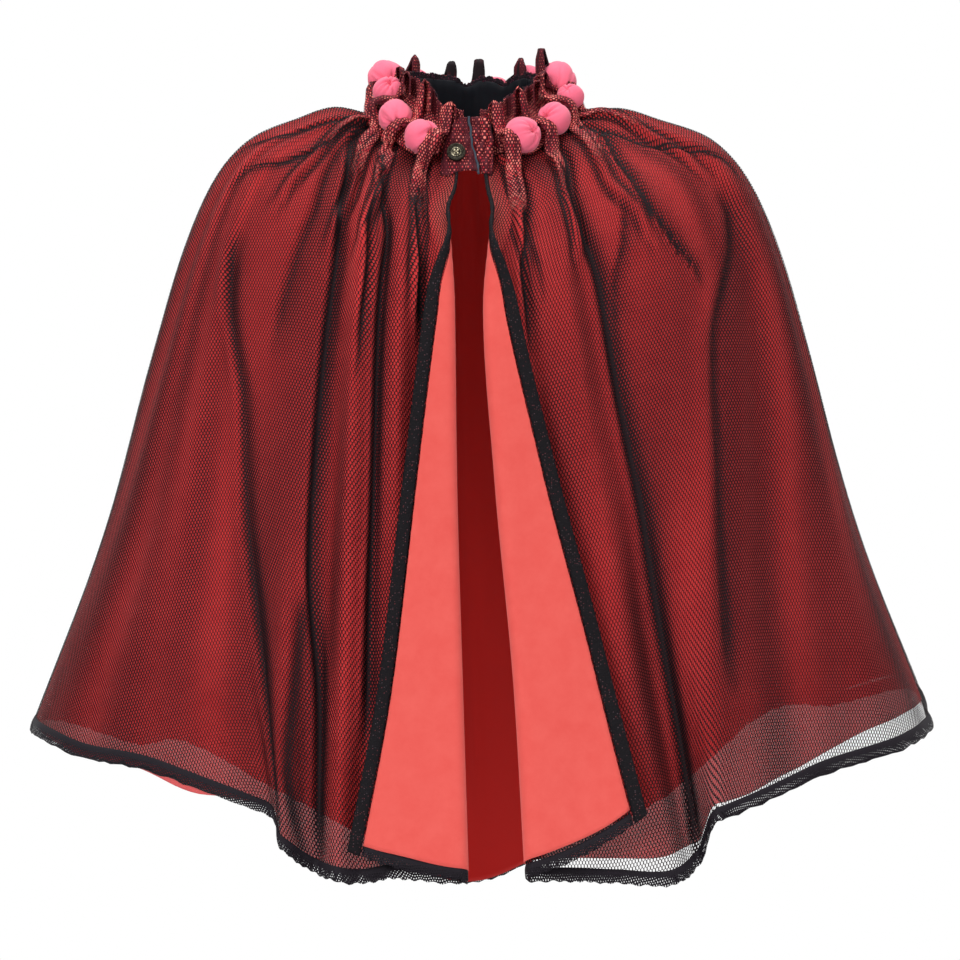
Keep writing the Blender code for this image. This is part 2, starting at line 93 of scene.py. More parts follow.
backRibs = [  # angles from the back's middle
    Rib("seam -X", -82, -90, -90, 0, 0, 5),
    Rib("ridge 1", -71, -74, -71, 4, 8, 4),
    Rib("trough 1", -59, -60, -55, -4, -11, -2),
    Rib("ridge 2", -47, -46, -42, 4, 11, -27),
    Rib("trough 2", -36, -34, -28, -5, -14, -32),
    Rib("ridge 3", -23, -21, -15, 4, 10, -14),
    Rib("trough 3", -8, -7, -2, -4, -12, 3),
    Rib("ridge 4", 9, 10, 12, 4, 12, -16),
    Rib("trough 4", 24, 25, 27, -5, -11, -36),
    Rib("ridge 5", 38, 38, 41, 4, 11, -58),
    Rib("trough 5", 53, 54, 57, -4, -12, -34),
    Rib("ridge 6", 69, 71, 72, 4, 7, -24),
    Rib("seam +X", 82, 90, 90, 0, 0, 0),
]

# where each front turns out, from the middle, and how much of it is turned
Edge = namedtuple("Edge", "along rightX rightTurned leftX leftTurned")
edges = [
    Edge(0.000, -0.0100, 0.0130, 0.0080, 0.0130),
    Edge(0.070, -0.0130, 0.0170, 0.0120, 0.0170),
    Edge(0.120, -0.0190, 0.0240, 0.0165, 0.0250),
    Edge(0.250, -0.0150, 0.0390, 0.0105, 0.0430),
    Edge(0.480, -0.0130, 0.0590, 0.0200, 0.0660),
    Edge(0.755, -0.0080, 0.0840, 0.0360, 0.0920),
    Edge(1.000, -0.0030, 0.1160, 0.0450, 0.1180),
]

cape = {
    "bodyShift": 0.008, "shiftSettles": 0.19,
    "rollAtNeck": 0.030, "rollBelow": 0.007, "rollSettles": 0.25,
    "lapelSink": 0.004, "lapelShorter": {-1: 0.012, 1: 0.036},
    "bindingWidth": 0.011, "bindingAtNeck": {-1: 0.0025, 1: 0.0035}, "bindingWidens": (0.06, 0.26),
    "bindingGap": 0.0012,
    "hemStart": 0.982,
    "perRib": 16, "rollColumns": 12, "lapelColumns": 26, "bindingColumns": 7,
    "rowsBelow": 84, "rowsAtNeck": 36, "neckRadius": 0.10,
    "liningEnd": {  # where the lining's hem comes, by the angle from the front's or the back's middle
        "right": ((0, 0.984), (24, 0.984), (28, 0.986), (33, 0.997), (38, 1.006), (44, 1.003), (50, 0.998),
                  (70, 0.994), (90, 0.985)),
        "back": ((-90, 0.985), (-30, 0.985), (-10, 0.998), (10, 0.998), (30, 0.985), (90, 0.975)),
        "left": ((0, 0.978), (12, 0.968), (26, 0.966), (31, 0.980), (42, 0.978), (50, 0.971),
                 (60, 0.963), (78, 0.961), (90, 0.966)),
    },
}

# creases, by their angle from the front's middle at several heights; width and depth in
# millimetres, and how tightly the net is bunched in them, which also sets how dark their painted shade is
Crease = namedtuple("Crease", "name width depth bunched path")
frontCreases = {
    -1: [
        Crease("long fold", 4.8, 4, 0.95,
               ((0.05, 74), (0.14, 45), (0.25, 34), (0.46, 30.4), (0.64, 28), (0.79, 24), (0.97, 21))),
        Crease("outer fold", 6.5, 3, 0.5,
               ((0.33, 59), (0.39, 55), (0.49, 46), (0.65, 40), (0.81, 32.7), (0.97, 26))),
        Crease("inner fold", 4.2, 3, 0.85,
               ((0.03, 58), (0.10, 38), (0.18, 25), (0.31, 21.3), (0.49, 18.9), (0.66, 17.7), (0.80, 16.4))),
        Crease("edge fold", 3.8, 3, 0.8, ((0.01, 32), (0.10, 22), (0.21, 14.6), (0.30, 12))),
        Crease("middle fold", 3.2, 2, 0.75,
               ((0.15, 33), (0.17, 31.3), (0.21, 27.4), (0.27, 25.1), (0.34, 24))),
        Crease("inner short fold", 3.0, 2, 0.8,
               ((0.06, 29), (0.08, 26.6), (0.15, 18), (0.23, 14.1), (0.28, 13))),
        Crease("short fold", 3.2, 2, 0.6, ((0.10, 38), (0.18, 30), (0.24, 25.7), (0.30, 25))),
        Crease("chest fold", 8, 3, 0.35, ((0.06, 66), (0.11, 57), (0.21, 44), (0.29, 42.5), (0.38, 42))),
        Crease("shoulder crease", 3, 2, 0.8, ((0.06, 73), (0.09, 66), (0.12, 61.5), (0.17, 62), (0.23, 70))),
        Crease("upper shoulder crease", 3, 1.5, 0.65, ((0.05, 78), (0.09, 74), (0.14, 74), (0.21, 80))),
        Crease("deep fold at the hem", 12, 1.5, 0.42,
               ((0.70, 28), (0.80, 27), (0.89, 26), (0.95, 24), (0.98, 22.5))),
        Crease("side seam", 6, 0.3, 0.8, ((0.05, 97), (0.14, 92.5), (0.25, 90), (0.60, 90), (0.98, 90))),
    ],
    1: [
        Crease("edge fold", 3.8, 3, 0.85, ((0.02, 26), (0.07, 22), (0.14, 14), (0.21, 10), (0.28, 10))),
        Crease("long fold", 5.2, 4, 1.0,
               ((0.05, 50), (0.12, 32), (0.19, 27.2), (0.35, 26.1), (0.59, 27.8), (0.80, 28.2), (0.98, 28))),
        Crease("chest fold", 3.4, 3, 0.9,
               ((0.06, 72), (0.13, 51.7), (0.21, 44.7), (0.26, 45.5), (0.31, 48.3))),
        Crease("short fold", 5.5, 2, 0.45, ((0.18, 40), (0.21, 36), (0.27, 29.4), (0.33, 27.8))),
        Crease("side fold", 11, 3, 0.35, ((0.28, 66), (0.32, 61.8), (0.41, 48.4), (0.56, 43), (0.82, 37))),
        Crease("shoulder crease", 3, 2, 0.85,
               ((0.05, 68), (0.08, 65.5), (0.12, 64.6), (0.17, 68.6), (0.23, 76))),
        Crease("side seam", 6, 0.3, 0.8, ((0.05, 97), (0.14, 92.5), (0.25, 90), (0.60, 90), (0.98, 90))),
    ],
}
backCreases = [  # angles from the back's middle
    Crease("long fold 1", 6, 3, 0.7, ((0.04, -60), (0.20, -58), (0.50, -55), (0.95, -53))),
    Crease("short fold 1", 4, 2, 0.6, ((0.05, -46), (0.15, -49), (0.30, -52))),
    Crease("long fold 2", 6.5, 4, 0.8, ((0.03, -33), (0.20, -33), (0.50, -31), (0.98, -27))),
    Crease("short fold 2", 4, 2, 0.6, ((0.04, -20), (0.12, -18), (0.24, -17))),
    Crease("long fold 3", 6, 3, 0.7, ((0.02, -7), (0.25, -7), (0.60, -4), (0.90, -2))),
    Crease("short fold 3", 4, 2.5, 0.65, ((0.03, 10), (0.14, 14), (0.34, 17))),
    Crease("long fold 4", 6.5, 4, 0.85, ((0.03, 24), (0.25, 25), (0.60, 26), (0.98, 27))),
    Crease("short fold 4", 4, 2, 0.6, ((0.05, 42), (0.13, 43), (0.22, 47))),
    Crease("long fold 5", 6, 3, 0.7, ((0.04, 55), (0.25, 54), (0.60, 56), (0.95, 57))),
    Crease("shoulder crease", 3, 2, 0.7, ((0.05, 72), (0.12, 70), (0.22, 66))),
]

# pleats that come down from between the balls: angles at several heights
pleats = {
    "wide": 4.2, "high": 4.6, "lineWide": 2.3, "lineApart": 7.2, "line": 0.44, "bright": 0.20,
    "between": 0.12, "shadeDownTo": 0.100,
    "right": [
        ((0.02, 37), (0.03, 34), (0.09, 23.3), (0.15, 17.7), (0.24, 14.5)),
        ((0.02, 64), (0.04, 57), (0.07, 45), (0.12, 35), (0.20, 30)),
        ((0.03, 80), (0.06, 62), (0.11, 47.2), (0.15, 41), (0.23, 37)),
        ((0.02, 91), (0.05, 80), (0.11, 64), (0.16, 57), (0.22, 54)),
    ],
    "left": [
        ((0.02, 25), (0.05, 21), (0.08, 17.1), (0.14, 12.5), (0.22, 12)),
        ((0.02, 60), (0.03, 56), (0.06, 45), (0.12, 31.3), (0.20, 24)),
        ((0.03, 85), (0.06, 66), (0.10, 51.2), (0.15, 43), (0.23, 41)),
        ((0.02, 93), (0.05, 86), (0.09, 78), (0.13, 71), (0.20, 66)),
    ],
    "back": [  # angles from the back's middle
        ((0.02, -60), (0.05, -58), (0.12, -56), (0.22, -54)),
        ((0.02, -31), (0.05, -29), (0.12, -28), (0.25, -27)),
        ((0.02, 0), (0.05, 0), (0.12, -1), (0.26, 1)),
        ((0.02, 31), (0.05, 30), (0.12, 31), (0.22, 33)),
        ((0.02, 60), (0.05, 57), (0.12, 55), (0.24, 54)),
    ],
}


def through(x, y, at):
    # a smooth curve through the points that never overshoots them
    x, y, at = np.asarray(x, float), np.asarray(y, float), np.asarray(at, float)
    steps = np.diff(y) / np.diff(x)
    before, after = steps[:-1], steps[1:]
    sameWay = before * after > 0
    middle = np.where(sameWay, 2 * before * after / np.where(sameWay, before + after, 1), 0)
    slope = np.concatenate([steps[:1], middle, steps[-1:]])
    i = np.clip(np.searchsorted(x, at, side="right") - 1, 0, len(x) - 2)
    step = x[i + 1] - x[i]
    t = np.clip((at - x[i]) / step, 0, 1)
    start = (1 + 2 * t) * (1 - t) ** 2 * y[i] + t * (1 - t) ** 2 * step * slope[i]
    end = t * t * (3 - 2 * t) * y[i + 1] - t * t * (1 - t) * step * slope[i + 1]
    return start + end


def column(rows, name):
    return [getattr(row, name) for row in rows]


def ringPoint(size, turn):
    toBack = np.cos(turn)
    depth = np.where(toBack > 0, size["backY"], size["frontY"])
    endZ = np.where(toBack > 0, size["backZ"], size["frontZ"])
    z = size["sideZ"] + (endZ - size["sideZ"]) * np.abs(toBack) ** size["power"]
    return np.stack(np.broadcast_arrays(size["sideX"] * np.sin(turn), depth * toBack, z), axis=-1)


def formPoint(turn, along):
    at = column(sections, "along")
    size = {name: through(at, column(sections, name), along) for name in Section._fields[1:]}
    points = ringPoint(size, turn)
    points[..., 0] += cape["bodyShift"] * np.clip(along / cape["shiftSettles"], 0, 1)
    return points


def formFrame(turn, along):
    # the outward normal, the direction round and the metres for each radian
    step = 1e-3
    low, high = np.clip(along - step, 0, 1), np.clip(along + step, 0, 1)
    roundWay = (formPoint(turn + step, along) - formPoint(turn - step, along)) / (2 * step)
    out = np.cross(roundWay, formPoint(turn, high) - formPoint(turn, low))
    out /= np.linalg.norm(out, axis=-1, keepdims=True)
    reach = np.linalg.norm(roundWay, axis=-1, keepdims=True)
    return out, roundWay / reach, reach[..., 0]


def ribsAt(ribs, along):
    angles = [math.radians(through(ribLevels, (r.neck, r.chest, r.hem), along)) for r in ribs]
    outs = [float(through(ribLevels, (0, r.outChest, r.outHem), along)) / 1000 for r in ribs]
    longer = [rib.longer / 1000 for rib in ribs]
    return np.array(angles), np.array(outs), np.array(longer)


def folded(angles, outs, longer, places, along):
    index = np.arange(len(angles))
    turn = through(index, angles, places)
    out, _, _ = formFrame(turn, along)
    points = formPoint(turn, along) + out * through(index, outs, places)[:, None]
    points[:, 2] -= through(index, longer, places) * along**2
    return points, turn


def rollRadius(along):
    share = min(along / cape["rollSettles"], 1)
    return cape["rollAtNeck"] + (cape["rollBelow"] - cape["rollAtNeck"]) * share * share * (3 - 2 * share)


def bindingAt(side, along):
    # the binding starts narrow at the neck
    first, last = cape["bindingWidens"]
    share = min(max((along - first) / (last - first), 0), 1)
    start = cape["bindingAtNeck"][side]
    return start + (cape["bindingWidth"] - start) * share


def frontRow(side, along):
    # one height of a front, from its side seam to its turned edge
    angles, outs, longer = ribsAt(frontRibs[side], along)
    names = ("rightX", "rightTurned") if side < 0 else ("leftX", "leftTurned")
    heights = column(edges, "along")
    edgeX, turned = (float(through(heights, column(edges, name), along)) for name in names)
    width = float(through(column(sections, "along"), column(sections, "sideX"), along))
    shift = cape["bodyShift"] * min(along / cape["shiftSettles"], 1)
    radius = rollRadius(along)
    startX = side * (edgeX - shift) + radius * math.sin(min(turned / radius, math.pi / 2))
    startTurn = side * (math.pi - np.arcsin(startX / width))
    turns = np.append(side * (math.pi - angles), startTurn)
    places = np.linspace(0, len(angles), len(angles) * cape["perRib"] + 1)
    panel, turn = folded(turns, np.append(outs, 0), np.append(longer, 0), places, along)

    bindingWide = bindingAt(side, along)
    main = turned - bindingWide - cape["bindingGap"]
    rollEnd = min(math.pi * radius, main * 0.5)
    roll = np.linspace(0, rollEnd, cape["rollColumns"] + 1)[1:]
    lapelSpans = np.linspace(rollEnd, main, cape["lapelColumns"] + 1)[1:]
    binding = np.linspace(turned - bindingWide, turned, cape["bindingColumns"])
    spans = np.concatenate([roll, lapelSpans, binding])
    out, roundWay, reach = formFrame(np.array([startTurn]), along)
    base = formPoint(np.array([startTurn]), along)[0]
    curl = np.minimum(spans / radius, math.pi)[:, None]
    rolled = base + side * roundWay * radius * np.sin(curl) + out * radius * (1 - np.cos(curl))
    back = np.maximum(spans - math.pi * radius, 0)
    lapelTurn = startTurn - side * back / reach
    lapelOut, _, _ = formFrame(lapelTurn, along)
    sink = cape["lapelSink"] * back / turned
    lapel = formPoint(lapelTurn, along) + lapelOut * (2 * radius - sink)[:, None]
    strip = np.where((back > 0)[:, None], lapel, rolled)
    strip[:, 2] += cape["lapelShorter"][side] * (spans / turned) ** 1.5 * along**3
    fromFront = 180 - np.degrees(np.abs(turn))
    spansAll = np.concatenate([np.zeros(len(turn)), spans])
    return np.concatenate([panel, strip]), np.concatenate([fromFront, np.full(len(spans), -1.0)]), spansAll


def ways(points, axis):
    steps = np.diff(points, axis=axis)
    steps /= np.maximum(np.linalg.norm(steps, axis=-1, keepdims=True), 1e-9)
    first, last = steps.take([0], axis=axis), steps.take([-1], axis=axis)
    return np.concatenate([first, steps], axis=axis) + np.concatenate([steps, last], axis=axis)


def outWays(points):
    outs = np.cross(ways(points, 1), ways(points, 0))
    return outs / np.maximum(np.linalg.norm(outs, axis=-1, keepdims=True), 1e-9)


def lengthAlong(points, axis):
    # how far each point lies along its own row or column
    first = points.take([0], axis=axis)
    return np.cumsum(np.linalg.norm(np.diff(points, axis=axis, prepend=first), axis=-1), axis=axis)


def clothGrid():
    # all the cloth, from the edge of one front round the back to the other
    neck = np.linspace(0, 0.22, cape["rowsAtNeck"])
    below = np.linspace(0.22, 0.97, cape["rowsBelow"] + 1)[1:]
    hem = np.array([0.976, cape["hemStart"], 0.986, 0.990, 0.994, 0.997, 1.0])
    alongs = np.concatenate([neck, below, hem])
    rows = {name: [] for name in ("points", "angle", "span")}
    for along in alongs:
        right, rightAngle, rightSpan = frontRow(-1, along)
        left, leftAngle, leftSpan = frontRow(1, along)
        places = np.linspace(0, len(backRibs) - 1, (len(backRibs) - 1) * cape["perRib"] + 1)
        back, backTurn = folded(*ribsAt(backRibs, along), places, along)
        rows["points"].append(np.concatenate([right[::-1], back, left]))
        rows["angle"].append(np.concatenate([rightAngle[::-1], np.degrees(backTurn), leftAngle]))
        rows["span"].append(np.concatenate([rightSpan[::-1], np.zeros(len(back)), leftSpan]))
    counts = (len(right), len(back), len(left))
    return alongs, {name: np.array(value) for name, value in rows.items()}, counts


alongs, cloth, counts = clothGrid()
bound = cape["bindingColumns"]
pieceColumns = {
    "bindingRight": slice(0, bound),
    "right": slice(bound, counts[0]),
    "back": slice(counts[0], counts[0] + counts[1]),
    "left": slice(counts[0] + counts[1], sum(counts) - bound),
    "bindingLeft": slice(sum(counts) - bound, sum(counts)),
}
alongGrid = np.repeat(alongs[:, None], sum(counts), axis=1)
arc, down = lengthAlong(cloth["points"], 1), lengthAlong(cloth["points"], 0)
print("form worked out:", cloth["points"].shape)


def pathRows(path, angle, arcs):
    # every row that a path crosses: how strong it is there, and how far each point is from it in millimetres
    heights, angles = zip(*path)
    top, bottom = heights[0], heights[-1]
    for row, along in enumerate(alongs):
        if top - 0.04 < along < bottom + 0.04:
            fade = np.clip((along - top + 0.04) / 0.05, 0, 1) * np.clip((bottom + 0.04 - along) / 0.08, 0, 1)
            near = np.clip([along - 0.01, along, along + 0.01], top, bottom)
            before, at, after = through(heights, angles, near)
            order = np.argsort(angle[row])
            left, middle, right = np.interp([at - 1, at, at + 1], angle[row][order], arcs[row][order])
            # a slanted path is as wide as an upright one
            slope = (after - before) / 0.02 * (right - left) / 2
            yield row, along, fade, (arcs[row] - middle) * 1000 / math.hypot(1, slope)


def creaseFields(creases, angle, arcs):
    # how far the creases push the cloth in, how tightly they bunch it, and the painted shade beside them, on
    # one panel
    push, bunched = np.zeros(angle.shape), np.zeros(angle.shape)
    for crease in creases:
        for row, along, fade, away in pathRows(crease.path, angle, arcs):
            apart = away / (crease.width * (0.6 + 0.4 * min(along / 0.3, 1)))
            trough = np.exp(-((apart / np.where(apart < 0, 1.3, 0.6)) ** 2))
            ridge = np.exp(-(((apart - 1.5) / 0.9) ** 2)) + 0.4 * np.exp(-(((apart + 2.6) / 1.2) ** 2))
            push[row] += fade * crease.depth / 1000 * (0.5 * ridge - trough)
            core = np.exp(-((apart / 0.55) ** 2))
            # a soft dark halo to one side of each fold is painted shade, laid into the same field as the
            # bunching
            shade = 0.42 * np.exp(-((apart / np.where(apart < 0, 2.4, 0.8)) ** 2))
            bunched[row] = np.maximum(bunched[row], fade * crease.bunched * np.maximum(core, shade))
    return push, bunched


def pleatFields(paths, angle, arcs):
    # round ridges below the neck, each with a dark line down both its sides and a painted highlight on its
    # crest
    push, bunched = np.zeros(angle.shape), np.zeros(angle.shape)
    nearest = np.full(angle.shape, 60.0)
    for path in paths:
        for row, _, fade, apart in pathRows(path, angle, arcs):
            nearest[row] = np.minimum(nearest[row], np.abs(apart))
            crest = fade * np.exp(-((apart / pleats["wide"]) ** 2))
            lines = np.exp(-(((np.abs(apart) - pleats["lineApart"]) / pleats["lineWide"]) ** 2))
            push[row] += pleats["high"] / 1000 * (crest - 0.35 * fade * lines)
            # the crest is lightened by opening its cells: a painted highlight
            bunched[row] = np.maximum(bunched[row], pleats["line"] * fade * lines) - pleats["bright"] * crest
    # close under the neck the net between pleats is drawn together and darkened further as painted shade
    # under the balls
    between = np.clip((nearest - 6) / 4, 0, 1) * (nearest < 59)
    drawn = pleats["between"] * np.clip((pleats["shadeDownTo"] - alongs) / 0.07, 0, 1)[:, None]
    return push, np.maximum(bunched, drawn * between)


push = np.zeros(alongGrid.shape)
bunched = np.zeros(alongGrid.shape)
for name, creases in (("right", frontCreases[-1]), ("left", frontCreases[1]), ("back", backCreases)):
    place = (slice(None), pieceColumns[name])
    onPanel = cloth["span"][place] <= 0
    angle = np.where(onPanel, cloth["angle"][place], -400 - cloth["span"][place] * 1000)
    fieldPush, fieldBunched = creaseFields(creases, angle, arc[place])
    pleatPush, pleatBunched = pleatFields(pleats[name], angle, arc[place])
    push[place] += (fieldPush + pleatPush) * onPanel
    bunched[place] = np.maximum(fieldBunched, pleatBunched) * onPanel

# soft unevenness of hung cloth: long waves down the cape that never quite repeat
hang = np.broadcast_to(arc[-1:], arc.shape)  # the same all down a line that hangs from the neck
uneven = (
    np.sin(hang * 61 + 2.4 * np.sin(alongGrid * 5.1)) * 0.5
    + np.sin(hang * 97 + 3.1 * np.cos(alongGrid * 3.7) + 1.0) * 0.3
    + np.sin(hang * 31 + alongGrid * 2.0 + 0.5) * 0.4
)
push += uneven * 0.0016 * np.clip(alongGrid / 0.2, 0, 1) * (cloth["span"] <= 0)
lapelWave = np.sin(down * 17 + cloth["span"] * 14) * np.sin(cloth["span"] * 34 + down * 4)
push += 0.0020 * lapelWave * np.clip(cloth["span"] / 0.04 - 0.4, 0, 1)
mottle = np.sin(hang * 67 + 2 * np.sin(alongGrid * 5)) * np.sin(alongGrid * 4 + 2 * np.sin(hang * 13) + 0.6)
bunched += 0.08 * mottle * (cloth["span"] <= 0)
# the net is opened wider over the shoulders, where it is stretched, and the lighter tone this gives their
# tops is also a painted highlight
bunched -= 0.07 * np.exp(-(((alongGrid - 0.18) / 0.12) ** 2))
turnedNow = np.stack([np.interp(alongs, column(edges, "along"), column(edges, name))
                      for name in ("rightTurned", "leftTurned")], axis=1) - cape["bindingWidth"]
sideTurned = np.where(arc < arc[:, -1:] / 2, turnedNow[:, :1], turnedNow[:, 1:])
toBinding = (sideTurned - cloth["span"]) * 1000
pucker = np.sin((down * 1000 + 0.55 * toBinding) * 2 * math.pi / 17 + 2.5 * np.sin(down * 31))
pucker *= np.clip(toBinding + 6, 0, 6) / 6 * np.exp(-np.clip(toBinding, 0, None) / 11)
push += 0.0008 * pucker * (cloth["span"] > 0) * np.clip(alongGrid / 0.3 - 0.3, 0, 1)
cloth["points"] = cloth["points"] + outWays(cloth["points"]) * push[..., None]
tuck = cloth["points"][0] - cloth["points"][1]
cloth["points"][0] += 0.0045 * tuck / np.linalg.norm(tuck, axis=-1, keepdims=True)
outs = outWays(cloth["points"])


def toLinear(code):
    parts = [int(code[i:i + 2], 16) / 255 for i in (1, 3, 5)]
    return tuple(p / 12.92 if p <= 0.04045 else ((p + 0.055) / 1.055) ** 2.4 for p in parts) + (1.0,)


def addNode(tree, kind, settings=None, links=None):
    # one node, with its properties or socket values, and what feeds each of its sockets
    node = tree.nodes.new(kind)
    for name, value in (settings or {}).items():
        if isinstance(name, int) or name in node.inputs:
            node.inputs[name].default_value = value
        else:
            setattr(node, name, value)
    for name, source in (links or {}).items():
        tree.links.new(source, node.inputs[name])
    return node


def newMaterial(name):
    made = bpy.data.materials.new(name)
    made.use_nodes = True
    made.node_tree.nodes.clear()
    return made, made.node_tree


def finishMaterial(tree, shader):
    addNode(tree, "ShaderNodeOutputMaterial", {}, {"Surface": shader})


def meshCells(tree, pitch, rowSpacing, sideways=1.25):
    # distance from the middle of a hexagonal cell, 0 to 0.5 at its threads, from the cut's own map
    stretch = rowSpacing / (pitch * math.sqrt(3) / 2)
    slant = (0.5, math.sqrt(3) / 2, 0)
    half = (0.5, math.sqrt(3) / 2, 1)
    low = tuple(-h for h in half)
    cut = addNode(tree, "ShaderNodeUVMap", {"uv_map": "cut"})
    size = addNode(tree, "ShaderNodeVectorMath",
                   {"operation": "MULTIPLY", 1: (1 / pitch, 1 / (pitch * stretch), 0)}, {0: cut.outputs[0]})
    moved = addNode(tree, "ShaderNodeVectorMath", {"operation": "ADD", 1: slant}, {0: size.outputs[0]})
    wrapped = [addNode(tree, "ShaderNodeVectorMath", {"operation": "WRAP", 1: half, 2: low},
                       {0: source.outputs[0]}) for source in (size, moved)]
    reach = [addNode(tree, "ShaderNodeVectorMath", {"operation": "LENGTH"}, {0: middle.outputs[0]})
             for middle in wrapped]
    nearer = addNode(tree, "ShaderNodeMath", {"operation": "LESS_THAN"},
                     {0: reach[0].outputs["Value"], 1: reach[1].outputs["Value"]})
    cell = addNode(tree, "ShaderNodeMix", {"data_type": "VECTOR"},
                   {0: nearer.outputs[0], 4: wrapped[1].outputs[0], 5: wrapped[0].outputs[0]})
    turned = addNode(tree, "ShaderNodeVectorMath", {"operation": "ABSOLUTE"}, {0: cell.outputs[1]})
    slanted = addNode(tree, "ShaderNodeVectorMath", {"operation": "DOT_PRODUCT", 1: slant},
                      {0: turned.outputs[0]})
    split = addNode(tree, "ShaderNodeSeparateXYZ", {}, {0: turned.outputs[0]})
    across = addNode(tree, "ShaderNodeMath", {"operation": "MULTIPLY", 1: sideways}, {0: split.outputs[0]})
    return addNode(tree, "ShaderNodeMath", {"operation": "SMOOTH_MAX", 2: 0.1},
                   {0: across.outputs[0], 1: slanted.outputs["Value"]}).outputs[0]


def netThread(tree, look):
    # 0 in the open cells and 1 on the thread, which closes the cells where the net is bunched and where
    # painted shade is laid into the same field
    cells = meshCells(tree, look["pitch"], look["rowSpacing"])
    bunchedAndShadedHere = addNode(tree, "ShaderNodeAttribute", {"attribute_name": "bunched"})
    opening = addNode(tree, "ShaderNodeMath",
                      {"operation": "MULTIPLY_ADD", 1: -look["closes"], 2: look["opening"]},
                      {0: bunchedAndShadedHere.outputs["Fac"]})
    beyond = addNode(tree, "ShaderNodeMath", {"operation": "SUBTRACT"}, {0: cells, 1: opening.outputs[0]})
    inside, outside = look["soft"]
    thread = addNode(tree, "ShaderNodeMapRange",
                     {"interpolation_type": "SMOOTHSTEP", "From Min": -inside, "From Max": outside},
                     {"Value": beyond.outputs[0]})
    return cells, bunchedAndShadedHere, thread


def tulle(name, look):
    # warp-knitted polyester net: black thread, open cells that close where it is bunched and where painted
    # shade is laid in
    made, tree = newMaterial(name)
    cells, _, thread = netThread(tree, look)
    where = addNode(tree, "ShaderNodeTexCoord")
    speckle = addNode(tree, "ShaderNodeTexNoise", {"Scale": 900.0, "Detail": 1.0},
                      {"Vector": where.outputs["Object"]})
    tone = addNode(tree, "ShaderNodeMix",
                   {"data_type": "RGBA", 6: toLinear(look["thread"]), 7: toLinear(look["threadLit"])},
                   {0: speckle.outputs[0]})
    rounded = addNode(tree, "ShaderNodeBump", {"Strength": 0.35, "Distance": 0.0004}, {"Height": cells})
    body = addNode(tree, "ShaderNodeBsdfPrincipled", {"Roughness": 0.7, "Specular IOR Level": 0.12},
                   {"Base Color": tone.outputs[2], "Normal": rounded.outputs[0]})
    clear = addNode(tree, "ShaderNodeBsdfTransparent")
    mix = addNode(tree, "ShaderNodeMixShader", {},
                  {0: thread.outputs[0], 1: clear.outputs[0], 2: body.outputs[0]})
    finishMaterial(tree, mix.outputs[0])
    return made


def voile(name, look):
    # thin coral cotton: a plain weave that lets a little light and sight through
    made, tree = newMaterial(name)
    cut = addNode(tree, "ShaderNodeUVMap", {"uv_map": "cut"})
    bands = {"wave_type": "BANDS", "Scale": look["weave"], "Distortion": 1.5, "Detail": 1.0}
    weft, warp = (addNode(tree, "ShaderNodeTexWave", dict(bands, bands_direction=way),
                          {"Vector": cut.outputs[0]}) for way in "YX")
    weave = addNode(tree, "ShaderNodeMath", {"operation": "MULTIPLY"},
                    {0: weft.outputs["Fac"], 1: warp.outputs["Fac"]})
    where = addNode(tree, "ShaderNodeTexCoord")
    slubs = addNode(tree, "ShaderNodeTexNoise", {"Scale": 55.0, "Detail": 4.0, "Roughness": 0.65},
                    {"Vector": where.outputs["Object"]})
    # under the net the coral turns a deeper red, painted shade of the net over it; on the wall's inner face
    # the field passes 1 and the coral turns to the inner red, painted shade of the cape's inside
    shadeField = addNode(tree, "ShaderNodeAttribute", {"attribute_name": "paintedShade"})
    tones = [addNode(tree, "ShaderNodeMix",
                     {"data_type": "RGBA", 6: toLinear(look[deep]), 7: toLinear(look[pale])},
                     {0: slubs.outputs[0]})
             for deep, pale in (("deep", "pale"), ("underNetShadeDeep", "underNetShadePale"))]
    underNetShadeTone = addNode(tree, "ShaderNodeMix", {"data_type": "RGBA"},
                         {0: shadeField.outputs["Fac"], 6: tones[0].outputs[2], 7: tones[1].outputs[2]})
    inner = addNode(tree, "ShaderNodeMath", {"operation": "SUBTRACT", 1: 1.0, "use_clamp": True},
                    {0: shadeField.outputs["Fac"]})
    tone = addNode(tree, "ShaderNodeMix", {"data_type": "RGBA", 7: toLinear(look["inner"])},
                   {0: inner.outputs[0], 6: underNetShadeTone.outputs[2]})
    lift = addNode(tree, "ShaderNodeMath", {"operation": "MULTIPLY_ADD", 1: 0.25},
                   {0: weave.outputs[0], 2: slubs.outputs[0]})
    relief = addNode(tree, "ShaderNodeBump", {"Strength": 0.3, "Distance": 0.0012},
                     {"Height": lift.outputs[0]})
    body = addNode(tree, "ShaderNodeBsdfPrincipled", {"Roughness": 0.85, "Specular IOR Level": 0.15,
                                                      "Sheen Weight": 0.1, "Sheen Roughness": 0.6},
                   {"Base Color": tone.outputs[2], "Normal": relief.outputs[0]})
    lit = addNode(tree, "ShaderNodeBsdfTranslucent", {}, {"Color": tone.outputs[2]})
    glow = addNode(tree, "ShaderNodeMixShader", {0: look["glow"]}, {1: body.outputs[0], 2: lit.outputs[0]})
    clear = addNode(tree, "ShaderNodeBsdfTransparent")
    sheer = addNode(tree, "ShaderNodeAttribute", {"attribute_name": "sheer"})
    mix = addNode(tree, "ShaderNodeMixShader", {},
                  {0: sheer.outputs["Fac"], 1: glow.outputs[0], 2: clear.outputs[0]})
    finishMaterial(tree, mix.outputs[0])
    return made


